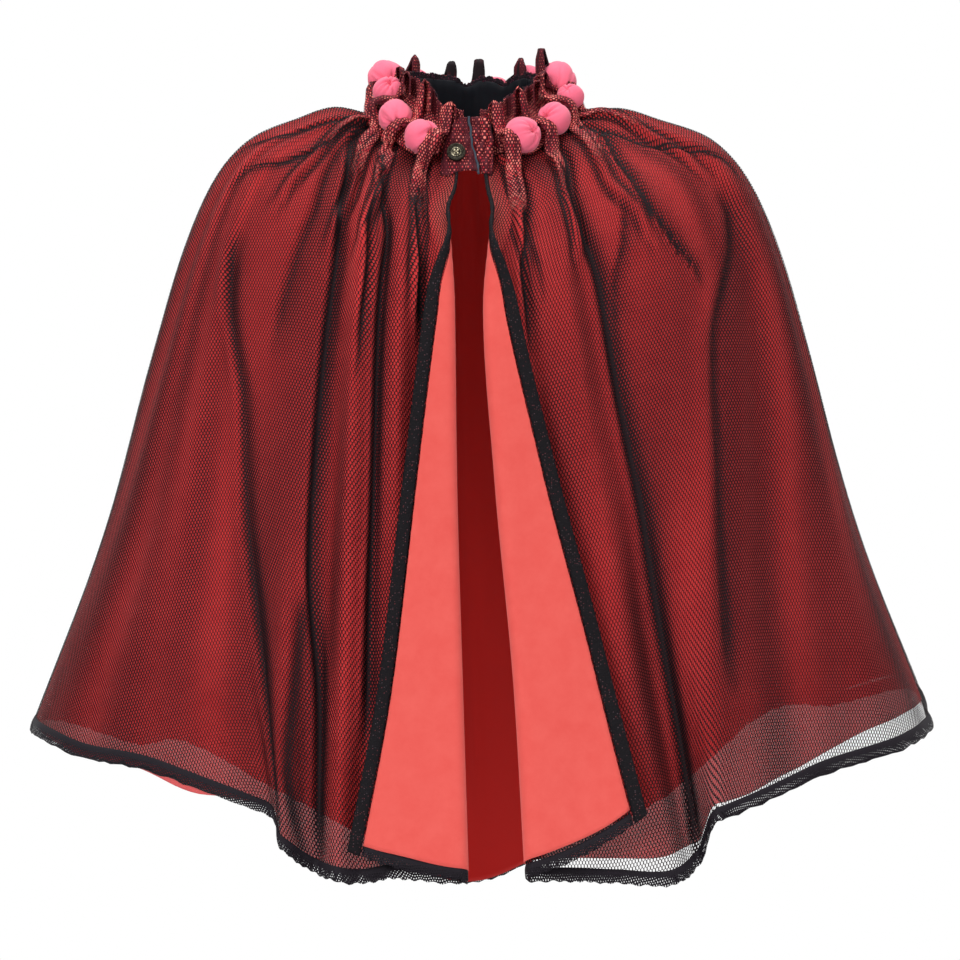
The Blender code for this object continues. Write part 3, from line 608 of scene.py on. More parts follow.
def netOnCoral(name, look):
    # the same net drawn tight over the coral cotton: dark threads with bright cells between
    made, tree = newMaterial(name)
    _, bunchedAndShadedHere, thread = netThread(tree, look)
    where = addNode(tree, "ShaderNodeTexCoord")
    patch = addNode(tree, "ShaderNodeTexNoise", {"Scale": 260.0, "Detail": 1.0},
                    {"Vector": where.outputs["Object"]})
    spread = addNode(tree, "ShaderNodeMapRange", {"From Min": 0.36, "From Max": 0.66},
                     {"Value": patch.outputs[0]})
    dots = addNode(tree, "ShaderNodeMix",
                   {"data_type": "RGBA", 6: toLinear(look["cellDeep"]), 7: toLinear(look["cellPale"])},
                   {0: spread.outputs[0]})
    # where the field runs highest, as in the loops over the ring and at the closure's edges, the thread turns
    # near black: painted shade
    folded = addNode(tree, "ShaderNodeMapRange", {"From Min": 0.75, "From Max": 1.05},
                     {"Value": bunchedAndShadedHere.outputs["Fac"]})
    threadTone = addNode(tree, "ShaderNodeMix",
                         {"data_type": "RGBA", 6: toLinear(look["thread"]), 7: toLinear(look["folded"])},
                         {0: folded.outputs[0]})
    tone = addNode(tree, "ShaderNodeMix", {"data_type": "RGBA"},
                   {0: thread.outputs[0], 6: dots.outputs[2], 7: threadTone.outputs[2]})
    relief = addNode(tree, "ShaderNodeBump", {"Strength": 0.6, "Distance": 0.0006},
                     {"Height": thread.outputs[0]})
    body = addNode(tree, "ShaderNodeBsdfPrincipled", {"Roughness": 0.7, "Specular IOR Level": 0.15},
                   {"Base Color": tone.outputs[2], "Normal": relief.outputs[0]})
    merging = addNode(tree, "ShaderNodeAttribute", {"attribute_name": "merging"})  # into the cape's own cloth
    clear = addNode(tree, "ShaderNodeBsdfTransparent")
    mix = addNode(tree, "ShaderNodeMixShader", {},
                  {0: merging.outputs["Fac"], 1: body.outputs[0], 2: clear.outputs[0]})
    finishMaterial(tree, mix.outputs[0])
    return made


def bandNet(name, look):
    # net folded over and over into a band: near black, with glints of its thread
    made, tree = newMaterial(name)
    where = addNode(tree, "ShaderNodeTexCoord")
    grains = addNode(tree, "ShaderNodeTexVoronoi", {"Scale": look["grains"], "Randomness": 0.9},
                     {"Vector": where.outputs["Object"]})
    glint = addNode(tree, "ShaderNodeMapRange", {"From Min": 0.30, "From Max": 0.16},
                    {"Value": grains.outputs["Distance"]})
    chosen = addNode(tree, "ShaderNodeSeparateColor", {}, {0: grains.outputs["Color"]})
    few = addNode(tree, "ShaderNodeMath", {"operation": "GREATER_THAN", 1: look["fewer"]},
                  {0: chosen.outputs[0]})
    lit = addNode(tree, "ShaderNodeMath", {"operation": "MULTIPLY"}, {0: glint.outputs[0], 1: few.outputs[0]})
    tint = addNode(tree, "ShaderNodeMix",
                   {"data_type": "RGBA", 6: toLinear(look["glintA"]), 7: toLinear(look["glintB"])},
                   {0: chosen.outputs[1]})
    tone = addNode(tree, "ShaderNodeMix", {"data_type": "RGBA", 6: toLinear(look["ground"])},
                   {0: lit.outputs[0], 7: tint.outputs[2]})
    relief = addNode(tree, "ShaderNodeBump", {"Strength": 0.7, "Distance": 0.0009},
                     {"Height": grains.outputs["Distance"]})
    body = addNode(tree, "ShaderNodeBsdfPrincipled", {"Roughness": 0.75, "Specular IOR Level": look["gloss"]},
                   {"Base Color": tone.outputs[2], "Normal": relief.outputs[0]})
    finishMaterial(tree, body.outputs[0])
    return made


def plainCloth(name, look):
    # close-woven cloth: an uneven tone, a fine thread and a little sheen
    made, tree = newMaterial(name)
    where = addNode(tree, "ShaderNodeTexCoord")
    slubs = addNode(tree, "ShaderNodeTexNoise", {"Scale": look["patch"], "Detail": 5.0, "Roughness": 0.6},
                    {"Vector": where.outputs["Object"]})
    tone = addNode(tree, "ShaderNodeMix",
                   {"data_type": "RGBA", 6: toLinear(look["deep"]), 7: toLinear(look["pale"])},
                   {0: slubs.outputs[0]})
    fine = addNode(tree, "ShaderNodeTexNoise", {"Scale": look["thread"], "Detail": 2.0},
                   {"Vector": where.outputs["Object"]})
    relief = addNode(tree, "ShaderNodeBump", {"Strength": look["relief"], "Distance": 0.0005},
                     {"Height": fine.outputs[0]})
    body = addNode(tree, "ShaderNodeBsdfPrincipled",
                   {"Roughness": look["roughness"], "Specular IOR Level": look["gloss"],
                    "Sheen Weight": look["sheen"], "Sheen Roughness": 0.5},
                   {"Base Color": tone.outputs[2], "Normal": relief.outputs[0]})
    finishMaterial(tree, body.outputs[0])
    return made


def castMetal(name, look):
    # cast and patinated metal: dark in its hollows, worn bright on what stands proud
    made, tree = newMaterial(name)
    where = addNode(tree, "ShaderNodeTexCoord")
    patches = addNode(tree, "ShaderNodeTexNoise", {"Scale": look["patch"], "Detail": 4.0, "Roughness": 0.6},
                      {"Vector": where.outputs["Object"]})
    spread = addNode(tree, "ShaderNodeMapRange", {"From Min": 0.40, "From Max": 0.62},
                     {"Value": patches.outputs[0]})
    tone = addNode(tree, "ShaderNodeMix",
                   {"data_type": "RGBA", 6: toLinear(look["dark"]), 7: toLinear(look["worn"])},
                   {0: spread.outputs[0]})
    relief = addNode(tree, "ShaderNodeBump", {"Strength": 0.4, "Distance": 0.0002},
                     {"Height": patches.outputs[0]})
    body = addNode(tree, "ShaderNodeBsdfPrincipled", {"Roughness": look["roughness"], "Metallic": 0.9},
                   {"Base Color": tone.outputs[2], "Normal": relief.outputs[0]})
    finishMaterial(tree, body.outputs[0])
    return made


netPitch, netRows = 0.00275, 0.00285  # from cell to cell along a row, and from row to row
finishes = {
    "net": tulle("polyester tulle, black", {
        "pitch": netPitch, "rowSpacing": netRows, "opening": 0.428, "closes": 0.40, "soft": (0.05, 0.05),
        "thread": "#0d0608", "threadLit": "#231318"}),
    "hemNet": tulle("polyester tulle, doubled hem", {
        "pitch": netPitch, "rowSpacing": netRows, "opening": 0.25, "closes": 0.5, "soft": (0.05, 0.05),
        "thread": "#0b090c", "threadLit": "#221c24"}),
    # the lining's inner red and its deeper reds under the net are painted shade, of the cape's inside and of
    # the net over it
    "lining": voile("cotton voile, coral", {
        "weave": 700.0, "deep": "#da4c46", "pale": "#e6635b", "inner": "#b0110b",
        "underNetShadeDeep": "#cf2a30", "underNetShadePale": "#ea4442", "glow": 0.08}),
    # the net over coral's folded thread tone is painted shade, for the places where it is most bunched
    "netOnCoral": netOnCoral("tulle over coral voile", {
        "pitch": netPitch, "rowSpacing": netRows * 0.9,
        "opening": 0.335, "closes": 0.36, "soft": (0.11, 0.09),
        "thread": "#4a121c", "folded": "#14090e", "cellDeep": "#c22a38", "cellPale": "#ff8e80"}),
    "binding": bandNet("tulle, rolled binding", {
        "grains": 560.0, "fewer": 0.55, "gloss": 0.12,
        "ground": "#0c090d", "glintA": "#6c2c30", "glintB": "#4a4248"}),
    "frill": bandNet("tulle, gathered edge", {
        "grains": 700.0, "fewer": 0.40, "gloss": 0.15,
        "ground": "#150a12", "glintA": "#8a3350", "glintB": "#5c2a48"}),
    "bronze": castMetal("bronze, darkened", {
        "worn": "#3f3a30", "dark": "#12110e", "patch": 700.0, "roughness": 0.42}),
    "rosette": castMetal("bronze, rubbed bright", {
        "worn": "#cfc4a6", "dark": "#4c4534", "patch": 900.0, "roughness": 0.34}),
    "ball": plainCloth("cotton lawn, pink", {
        "patch": 60.0, "thread": 1500.0, "relief": 0.15, "deep": "#ea5d7b", "pale": "#f47890",
        "roughness": 0.8, "gloss": 0.25, "sheen": 0.25}),
    "satin": plainCloth("polyester satin, navy", {
        "patch": 90.0, "thread": 900.0, "relief": 0.2, "deep": "#06070c", "pale": "#0c0f17",
        "roughness": 0.6, "gloss": 0.14, "sheen": 0.0}),
    "piping": plainCloth("cotton piping, slate", {
        "patch": 300.0, "thread": 1500.0, "relief": 0.5, "deep": "#1b222d", "pale": "#3d4957",
        "roughness": 0.7, "gloss": 0.3, "sheen": 0.1}),
}
print("materials made")


def finishPiece(obj, slot, *nodes):
    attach(obj, "root")
    if nodes:
        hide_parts(*nodes)
    return obj


def gridFaces(rows, columns, turned=False):
    index = np.arange(rows * columns).reshape(rows, columns)
    corners = [index[:-1, :-1], index[:-1, 1:], index[1:, 1:], index[1:, :-1]]
    faces = np.stack([c.ravel() for c in corners], axis=1)
    return faces[:, ::-1] if turned else faces


def meshObject(name, vertices, faces, material, cut=None, fields=None, flat=0):
    mesh = bpy.data.meshes.new(name)
    mesh.from_pydata(vertices.tolist(), [], faces)
    smooth = np.ones(len(faces), bool)
    if flat:
        smooth[-flat:] = False
    mesh.polygons.foreach_set("use_smooth", smooth)
    if cut is not None:
        layer = mesh.uv_layers.new(name="cut")
        corner = np.empty(len(mesh.loops), np.int32)
        mesh.loops.foreach_get("vertex_index", corner)
        layer.data.foreach_set("uv", cut[corner].astype(np.float32).ravel())
    for key, values in (fields or {}).items():
        field = mesh.attributes.new(key, "FLOAT", "POINT")
        field.data.foreach_set("value", values.astype(np.float32).ravel())
    mesh.materials.append(material)
    obj = bpy.data.objects.new(name, mesh)
    bpy.context.scene.collection.objects.link(obj)
    return obj


def makeWall(name, points, ways, low, high, cut, fields, material):
    # a closed wall through rows of points, from low to high along their outward ways
    rows, columns = points.shape[:2]
    count = rows * columns
    low, high = (np.broadcast_to(v, (rows, columns))[..., None] for v in (low, high))
    vertices = np.concatenate([(points + ways * high).reshape(-1, 3), (points + ways * low).reshape(-1, 3)])
    index = np.arange(count).reshape(rows, columns)
    rim = np.concatenate([index[0], index[1:, -1], index[-1, -2::-1], index[-2:0:-1, 0]])
    after = np.roll(rim, -1)
    rims = np.stack([after, rim, rim + count, after + count], axis=1)
    faces = np.concatenate([gridFaces(rows, columns), gridFaces(rows, columns, True) + count, rims])
    both = np.concatenate([cut.reshape(-1, 2)] * 2)
    fieldsBoth = {key: np.concatenate([np.broadcast_to(values, (rows, columns)).ravel()] * 2)
                  for key, values in fields.items()}
    if "paintedShade" in fields:  # on a front or back, the wall's inner face takes a deeper red still: painted shade of the cape's inside
        fieldsBoth["paintedShade"][count:] *= 2
    return meshObject(name, vertices, faces.tolist(), material, both, fieldsBoth, flat=len(rims))


def cutMap(arcs, origins, downs):
    # each point's place on the flat cut, a part of a circle round the neck
    radius = cape["neckRadius"] + downs
    bearing = (arcs - origins[:, None]) / radius
    return np.stack([radius * np.sin(bearing) + 0.5, 1.0 - radius * np.cos(bearing)], axis=-1)


hemRow = int(np.searchsorted(alongs, cape["hemStart"] - 1e-6))
foldColumns = {"right": counts[0] - len(frontRibs[-1]) * cape["perRib"] - 1,
               "left": counts[0] + counts[1] + len(frontRibs[1]) * cape["perRib"],
               "back": counts[0] + counts[1] // 2}
loose = np.clip(alongGrid / 0.16 - 0.15, 0, 1) * np.where(cloth["span"] > 0, 0.15, 1.0)
netOut = 0.0004 + loose * 0.0001  # an even gap, or the net's shadow makes bands on the lining
liningOut = -0.0007 - loose * 0.0001
# 1 where the lining lies under the net and 0 on the turned-out lapels: where the lining takes its
# painted-shade colours
paintedShade = np.clip(1 - cloth["span"] / 0.010, 0, 1)
sheer = 0.03 + 0.24 * np.clip((alongGrid - 0.80) / 0.08, 0, 1) * (cloth["span"] <= 0)

# how thick each layer is, to either side of its middle
wallHalf = {"net": 0.0002, "lining": 0.0003, "strip": 0.0003, "lip": 0.0004, "band": 0.0004}
# the flat cut of each panel in metres, as the cut's own map gives it, and its area in square metres
sheets = {
    "right": {"node": "right_front", "flat": (0.62, 0.71), "area": 0.28},
    "back": {"node": "back", "flat": (1.09, 0.83), "area": 0.56},
    "left": {"node": "left_front", "flat": (0.62, 0.71), "area": 0.28},
}


def shortened(field, ends):
    # the rows of one panel, drawn so that its last row ends at a share of the cape's length
    last = alongs[hemRow]
    made = np.empty((hemRow + 1,) + field.shape[1:])
    beyond = np.append(alongs, 1.02)
    for c in range(field.shape[1]):
        at = alongs[:hemRow + 1] * ends[c] / last
        for k in range(field.shape[2]):
            values = field[:, c, k]
            further = values[-1] + (values[-1] - values[-6]) * 0.02 / (alongs[-1] - alongs[-6])
            made[:, c, k] = np.interp(at, beyond, np.append(values, further))
    return made


def panelEnds(name, cols):
    angles, ends = zip(*cape["liningEnd"][name])
    shares = through(angles, ends, np.clip(cloth["angle"][-1, cols], angles[0], angles[-1]))
    return shares + 0.0012 * np.sin(arc[-1, cols] * 61 + 2 * np.sin(arc[-1, cols] * 17))


def makePanels():
    for name, sheet in sheets.items():
        cols = pieceColumns[name]
        node = sheet["node"]
        upper = (slice(0, hemRow + 1), cols)
        cut = cutMap(arc[:, cols], arc[:, foldColumns[name]], down[:, cols])
        net = makeWall("net_panel_" + name, cloth["points"][upper], outs[upper],
                       netOut[upper] - wallHalf["net"], netOut[upper] + wallHalf["net"],
                       cut[:hemRow + 1], {"bunched": bunched[upper]}, finishes["net"])
        finishPiece(net, "black net", "net_" + node)
        makeLining(name, sheet, cols, cut)
        makeHem(name, node, cols, cut)
        print("panel made:", name)


def makeLining(name, sheet, cols, cut):
    # the fronts' lining is drawn thinner towards the hem, where more light comes through
    sheerHere = sheer[:, cols] if name != "back" else 0.03 + 0 * sheer[:, cols]
    single = [field[..., None] for field in (liningOut[:, cols], paintedShade[:, cols], sheerHere)]
    layers = np.concatenate([cloth["points"][:, cols], outs[:, cols], cut] + single, axis=-1)
    points, outward, flat, middle, shadeField, thin = np.split(shortened(layers, panelEnds(name, cols)),
                                                        (3, 6, 8, 9, 10), axis=-1)
    lining = makeWall("lining_panel_" + name, points, outward, middle[..., 0] - wallHalf["lining"],
                      middle[..., 0] + wallHalf["lining"], flat,
                      {"paintedShade": shadeField[..., 0], "sheer": thin[..., 0]}, finishes["lining"])
    finishPiece(lining, "coral cotton", "lining_" + sheet["node"])


def makeHem(name, node, cols, cut):
    # the net turned up double: a close line where it is sewn, open cells below it, a wavy edge
    hem = (slice(hemRow, None), cols)
    share = (alongGrid[hem] - cape["hemStart"]) / (1 - cape["hemStart"])
    ripples = np.sin(arc[hem] * 620 + 2 * np.sin(arc[hem] * 71)) + 0.5 * np.sin(arc[hem] * 233 + 1.3)
    points = cloth["points"][hem].copy()
    points[..., 2] -= 0.0008 * ripples * share**2
    swell = np.sqrt(np.clip(1 - (2 * share - 1) ** 2, 0.05, 1))
    band = makeWall("hem_of_" + name, points, outs[hem], 0.0002 - swell * 0.0009, 0.0006 + swell * 0.0012,
                    cut[hemRow:] * 1.31, {"bunched": np.clip(1.5 - share * 3.2, 0, 1)}, finishes["hemNet"])
    finishPiece(band, "black net", "hem_band_" + node)


def tubeMesh(name, points, radius, material, sides):
    # a round tube along a line of points
    points = np.asarray(points, float)
    way = ways(points[None], 1)[0]
    way /= np.linalg.norm(way, axis=-1, keepdims=True)
    normal = np.cross(way, (0.31, 0.17, 0.93))
    normal /= np.linalg.norm(normal, axis=-1, keepdims=True)
    second = np.cross(way, normal)
    turn = np.linspace(0, 2 * math.pi, sides, endpoint=False)
    radius = np.broadcast_to(radius, len(points))[:, None, None]
    spoke = np.cos(turn)[:, None] * normal[:, None] + np.sin(turn)[:, None] * second[:, None]
    rings = points[:, None] + radius * spoke
    index = np.arange(len(points) * sides).reshape(len(points), sides)
    after = np.roll(index, -1, axis=1)
    faces = np.stack([index[:-1], after[:-1], after[1:], index[1:]], axis=-1).reshape(-1, 4).tolist()
    faces += [index[0, ::-1].tolist(), index[-1].tolist()]
    return meshObject(name, rings.reshape(-1, 3), faces, material)


def makeBindings():
    for name, node in (("bindingRight", "binding_right"), ("bindingLeft", "binding_left")):
        cols = pieceColumns[name]
        share = np.linspace(-1, 1, bound)
        swell = np.sqrt(1 - 0.92 * share**2)[None]
        ripple = 1 + 0.22 * np.sin(down[:, cols] * 900 + 3 * np.sin(down[:, cols] * 60))
        cut = np.stack([arc[:, cols], down[:, cols]], axis=-1)
        band = makeWall("rolled_" + node, cloth["points"][:, cols], outs[:, cols], -0.0019 * swell * ripple,
                        0.0015 * swell * ripple, cut, {}, finishes["binding"])
        finishPiece(band, "black binding", node)
    print("bindings made")


makePanels()
makeBindings()


# The neck: pleats come up from the cape between padded balls and over to a gathered collar.

neck = {
    "collarRows": 18, "collarColumns": 420, "collarWall": 0.0005,
    "opening": 7.0, "bandInset": 0.0036, "bandGathers": 37,
}
Level = namedtuple("Level", "share sideX frontY backY pleat")
collarLevels = [  # from the neck's seam to the collar's top edge
    Level(0.00, 0.0630, 0.0465, 0.0445, 0.0010),
    Level(0.35, 0.0600, 0.0440, 0.0418, 0.0018),
    Level(0.70, 0.0568, 0.0410, 0.0395, 0.0024),
    Level(1.00, 0.0566, 0.0412, 0.0402, 0.0032),
]
seamHeights = (0.0064, 0.0014, -0.0438)  # at the back, the sides and the front
bandEdge = (-0.0090, -0.0060, -0.0442)
topHeights = {  # of the collar's top edge, by the angle from the back's middle
    -1: ((0, 0.0240), (6, 0.0220), (17, 0.0290), (32, 0.0305), (60, 0.0325), (90, 0.0320), (110, 0.0280),
         (125, 0.0245), (139, 0.0190), (147, 0.0075), (157, 0.0010), (173, -0.0020)),
    1: ((0, 0.0240), (8, 0.0290), (20, 0.0280), (32, 0.0228), (45, 0.0290), (60, 0.0322), (80, 0.0295),
        (98, 0.0246), (110, 0.0210), (124, 0.0170), (141, 0.0120), (154, 0.0054), (164, -0.0004),
        (173, -0.0020)),
}

# each padded ball: its CAD node, how far it lies from the ring's own line, the way to its upper
# tie, how far it is drawn out to its lower tie, and its size beside the CAD ball's
Ball = namedtuple("Ball", "node moved pole drawn size")
balls = [
    Ball("ball_01", (0.0048, 0.0, -0.0030), (0.72, -0.50, 0.48), 0.08, 1.09),
    Ball("ball_02", (0.0040, 0.0, -0.0052), (0.15, -0.80, -0.58), 0.08, 1.05),
    Ball("ball_03", (0.0072, 0.0, -0.0026), (0.20, -0.55, 0.80), 0.26, 0.99),
    Ball("ball_04", (-0.0026, 0.0, -0.0034), (0.30, -0.74, -0.60), 0.05, 1.16),
    Ball("ball_05", (0.0, 0.0, -0.0020), (0.70, 0.70, 0.10), 0.05, 0.98),
    Ball("ball_06", (0.0, 0.0, -0.0020), (0.96, 0.25, 0.05), 0.05, 1.00),
    Ball("ball_07", (0.0, 0.0, -0.0020), (0.96, -0.25, 0.05), 0.05, 1.02),
    Ball("ball_08", (0.0, 0.0, 0.0010), (0.70, -0.70, 0.10), 0.05, 0.98),
    Ball("ball_09", (0.0016, 0.0, -0.0050), (-0.20, -0.72, -0.66), 0.05, 1.20),
    Ball("ball_10", (0.0062, 0.0, -0.0068), (-0.30, -0.60, 0.74), 0.22, 0.84),
    Ball("ball_11", (0.0008, 0.0, -0.0072), (-0.68, -0.72, 0.10), 0.08, 1.02),
    Ball("ball_12", (-0.0042, 0.0, -0.0016), (0.80, -0.56, 0.20), 0.10, 1.12),
]
ballShape = {
    "radius": 0.0145, "rings": 44, "turns": 72, "fill": 0.95,
    "gathers": (9, 13), "gatherDeep": 0.21, "gatherWide": 0.085, "creases": 3, "creaseDeep": 0.065,
}
ballRing = (0.080, 0.060)
ringHeights = ((37, -0.025), (62, -0.006), (88, 0.014), (114, 0.027), (141.3, 0.021), (165, 0.0145))

# each pleat over the ring: its angle from the back's middle, how far it humps over the collar's
# edge and leans, its width, where it is creased, and how closely its net is bunched and darkened as painted
# shade in its loop
Pleat = namedtuple("Pleat", "turn slant hump sunk tip lean wide flare creased bunched path")
pleatStrips = [
    Pleat(-157.0, -4.0, 0.0010, 0.0, 6.0, 0.0, 1.05, 1.1, 0.35, 0.10, ("right", 0)),
    Pleat(-130.5, -9.0, 0.0015, 0.0, 6.0, 0.0, 0.95, 1.3, -0.30, 0.05, ("right", 1)),
    Pleat(-105.0, -11.0, 0.0010, 0.0, 6.0, 0.0, 0.90, 1.7, 0.10, 0.35, ("right", 2)),
    Pleat(-79.0, -9.0, 0.0020, 0.011, 6.0, 0.0, 0.95, 1.5, 0.20, 0.25, ("right", 3)),
    Pleat(-53.0, 0.0, 0.0135, 0.0, 2.4, 0.0, 0.95, 0.9, -0.10, 0.55, ("back", 0)),
    Pleat(-26.0, 0.0, 0.0125, 0.0, 4.4, 0.0100, 0.85, 0.7, 0.00, 1.00, ("back", 1)),
    Pleat(0.0, 0.0, 0.0185, 0.0, 4.6, 0.0060, 0.90, 0.7, 0.05, 1.00, ("back", 2)),
    Pleat(26.0, 0.0, 0.0150, 0.0, 2.6, 0.0165, 0.95, 1.0, 0.10, 0.80, ("back", 3)),
    Pleat(53.0, 0.0, 0.0185, 0.0, 3.4, 0.0150, 1.05, 1.1, 0.20, 0.65, ("back", 4)),
    Pleat(79.0, 7.0, 0.0020, 0.011, 6.0, 0.0, 0.95, 1.5, -0.20, 0.25, ("left", 3)),
    Pleat(105.0, 11.0, 0.0020, 0.0, 6.0, 0.0, 1.05, 1.6, 0.20, 0.10, ("left", 2)),
    Pleat(130.5, 9.0, 0.0015, 0.0, 6.0, 0.0, 0.95, 1.2, -0.35, 0.20, ("left", 1)),
    Pleat(157.0, 4.0, 0.0010, 0.0, 6.0, 0.0, 1.00, 1.0, 0.30, 0.05, ("left", 0)),
]
# the gathered cloth between the collar and the ring, under the pleats
yoke = {
    "reach": 160.0, "columns": 300, "rows": 15,
    "from": 0.62, "under": 0.0030, "down": 0.012, "waves": 0.0011,
}


def unit(way):
    return way / np.linalg.norm(way)


def collarTop(turn):
    # the height of the collar's top edge
    degrees = np.degrees(turn)
    heights = [through(*zip(*topHeights[side]), np.abs(degrees)) for side in (-1, 1)]
    return np.where(degrees < 0, heights[0], heights[1])


def seamAt(turn, heights):
    back, side, front = heights
    toBack = np.cos(turn)
    return side + (np.where(toBack > 0, back, front) - side) * np.abs(toBack) ** 1.2


def collarPoint(turn, share, wave=0.0, inset=0.0):
    # a point of the collar's wall; wave is 1 on a pleat and -1 between two
    turn = np.asarray(turn, float)
    size = {name: through(column(collarLevels, "share"), column(collarLevels, name), share)
            for name in Level._fields[1:]}
    side, front, back = (size[name] + size["pleat"] * wave - inset for name in ("sideX", "frontY", "backY"))
    toBack = np.cos(turn)
    low = seamAt(turn, seamHeights)
    z = low + (collarTop(turn) - low) * share
    y = np.where(toBack > 0, back, front) * toBack
    return np.stack(np.broadcast_arrays(side * np.sin(turn), y, z), axis=-1)


def collarWave(turn, share):
    # thirteen main pleats, with finer gathers between them that never quite repeat
    phase = np.interp(np.degrees(turn), column(pleatStrips, "turn"), np.arange(len(pleatStrips)))
    main = np.cos(2 * math.pi * phase)
    fine = 0.32 * np.sin(turn * 47 + 2.2 * np.sin(turn * 9)) + 0.20 * np.sin(turn * 83 + 1.0)
    return main * (0.5 + 0.5 * share) + fine * (0.4 + 0.6 * share)


def collarTurns(columns):
    # angles round the neck, from one side of the front opening to the other
    end = math.pi - math.radians(neck["opening"])
    return np.linspace(-end, end, columns + 1)[None]


def makeCollar():
    turns = collarTurns(neck["collarColumns"])
    shares = np.linspace(1, 0, neck["collarRows"])[:, None]
    points = collarPoint(turns, shares, collarWave(turns, shares))
    frill = 0.0006 * np.sin(turns * 61 + 2 * np.sin(turns * 7)) + 0.0006 * np.sin(turns * 103)
    points[..., 2] += frill * shares**4
    around, downwards = lengthAlong(points, 1), lengthAlong(points, 0)
    cut = np.stack([around, downwards], axis=-1)
    # darker in the valleys between pleats and towards the top edge: bunched net, and where the field runs
    # highest the threads take the painted-shade tone
    tightAndShaded = 0.15 + 0.45 * np.clip(-collarWave(turns, shares), 0, 1) + 0.3 * shares**3
    wall = makeWall("gathered_collar", points, outWays(points), -neck["collarWall"], neck["collarWall"], cut,
                    {"bunched": tightAndShaded + 0 * around}, finishes["netOnCoral"])
    finishPiece(wall, "net on coral", "collar")
    makeCollarLip(turns[:, ::2], cut[:7, ::2])
    makeNeckBand()
    print("collar made")


def makeCollarLip(turns, cut):
    # the same gathered edge, seen inside above the band: dark net with a rolled lip
    reach = np.linspace(1.03, 0.80, 7)[:, None]
    shares = np.clip(reach, 0, 1)
    lip = collarPoint(turns, shares, collarWave(turns, shares), neck["collarWall"] + 0.0010)
    lip[..., 2] += 0.0011 * np.sin(turns * 71 + 3 * np.sin(turns * 11)) * (reach - 0.80) / 0.23
    lip[0] += (lip[0] - lip[1]) * 0.3
    inner = makeWall("collar_lip", lip, outWays(lip), -wallHalf["lip"], wallHalf["lip"],
                     cut, {}, finishes["frill"])
    finishPiece(inner, "net on coral")


def makeNeckBand():
    # satin inside the collar, hanging below its seam as a facing
    turns = collarTurns(240)
    shares = np.linspace(0.82, 0.0, 18)[:, None]
    gathers = 0.10 * np.sin(turns * neck["bandGathers"] + 2 * np.sin(turns * 5))
    gathers = gathers + 0.22 * np.sin(turns * 13 + 1.1) * shares
    band = collarPoint(turns, shares, gathers, neck["bandInset"])
    inside = 1 - shares / 0.82
    band[..., 2] += inside**2 * (seamAt(turns, bandEdge) - seamAt(turns, seamHeights))
    cut = np.stack(np.broadcast_arrays(turns * 0.055, shares * 0.03), axis=-1)
    satin = makeWall("satin_neck_band", band, outWays(band), -wallHalf["band"], wallHalf["band"],
                     cut, {}, finishes["satin"])
    finishPiece(satin, "navy satin", "neck_band")


def clothAt(name, angle, along):
    # a place on the cape, with its outward way
    cols = pieceColumns[name]
    row = int(np.argmin(np.abs(alongs - along)))
    onPanel = np.where(cloth["span"][row, cols] <= 0, cloth["angle"][row, cols], -500)
    col = int(np.argmin(np.abs(onPanel - angle)))
    return cloth["points"][row, cols][col], outs[row, cols][col]


def ringAt(turn):
    height = np.interp(180 - abs(math.degrees(turn)), *zip(*ringHeights))
    return np.array([ballRing[0] * math.sin(turn), ballRing[1] * math.cos(turn), height])


def alongCurve(points, steps):
    # a smooth curve through the points in even steps, each point's share of its length, and the length
    points = np.array(points)
    padded = np.concatenate([[2 * points[0] - points[1]], points, [2 * points[-1] - points[-2]]])
    made = []
    for i in range(1, len(padded) - 2):
        t = np.linspace(0, 1, 24, endpoint=False)[:, None]
        a, b, c, d = padded[i - 1:i + 3]
        squared, cubed = (2 * a - 5 * b + 4 * c - d) * t**2, (3 * b - a - 3 * c + d) * t**3
        made.append(0.5 * (2 * b + (c - a) * t + squared + cubed))
    made = np.concatenate(made + [points[-1:]])
    length = np.append(0, np.cumsum(np.linalg.norm(np.diff(made, axis=0), axis=1)))
    at = np.linspace(0, length[-1], steps)
    marks = length[np.append(np.arange(0, len(made) - 1, 24), len(made) - 1)]
    even = np.stack([np.interp(at, length, made[:, k]) for k in range(3)], axis=1)
    return even, marks / length[-1], length[-1]


# where a pleat lies down the cape: its share of the cape's length and lift in metres, then half
# its width and how far it bulges, in millimetres
pleatEnd = (
    (0.050, 0.0010, 7.6, 4.2), (0.074, 0.0006, 8.0, 4.4),
    (0.104, 0.0004, 7.6, 4.6), (0.135, 0.0002, 7.0, 4.6),
)


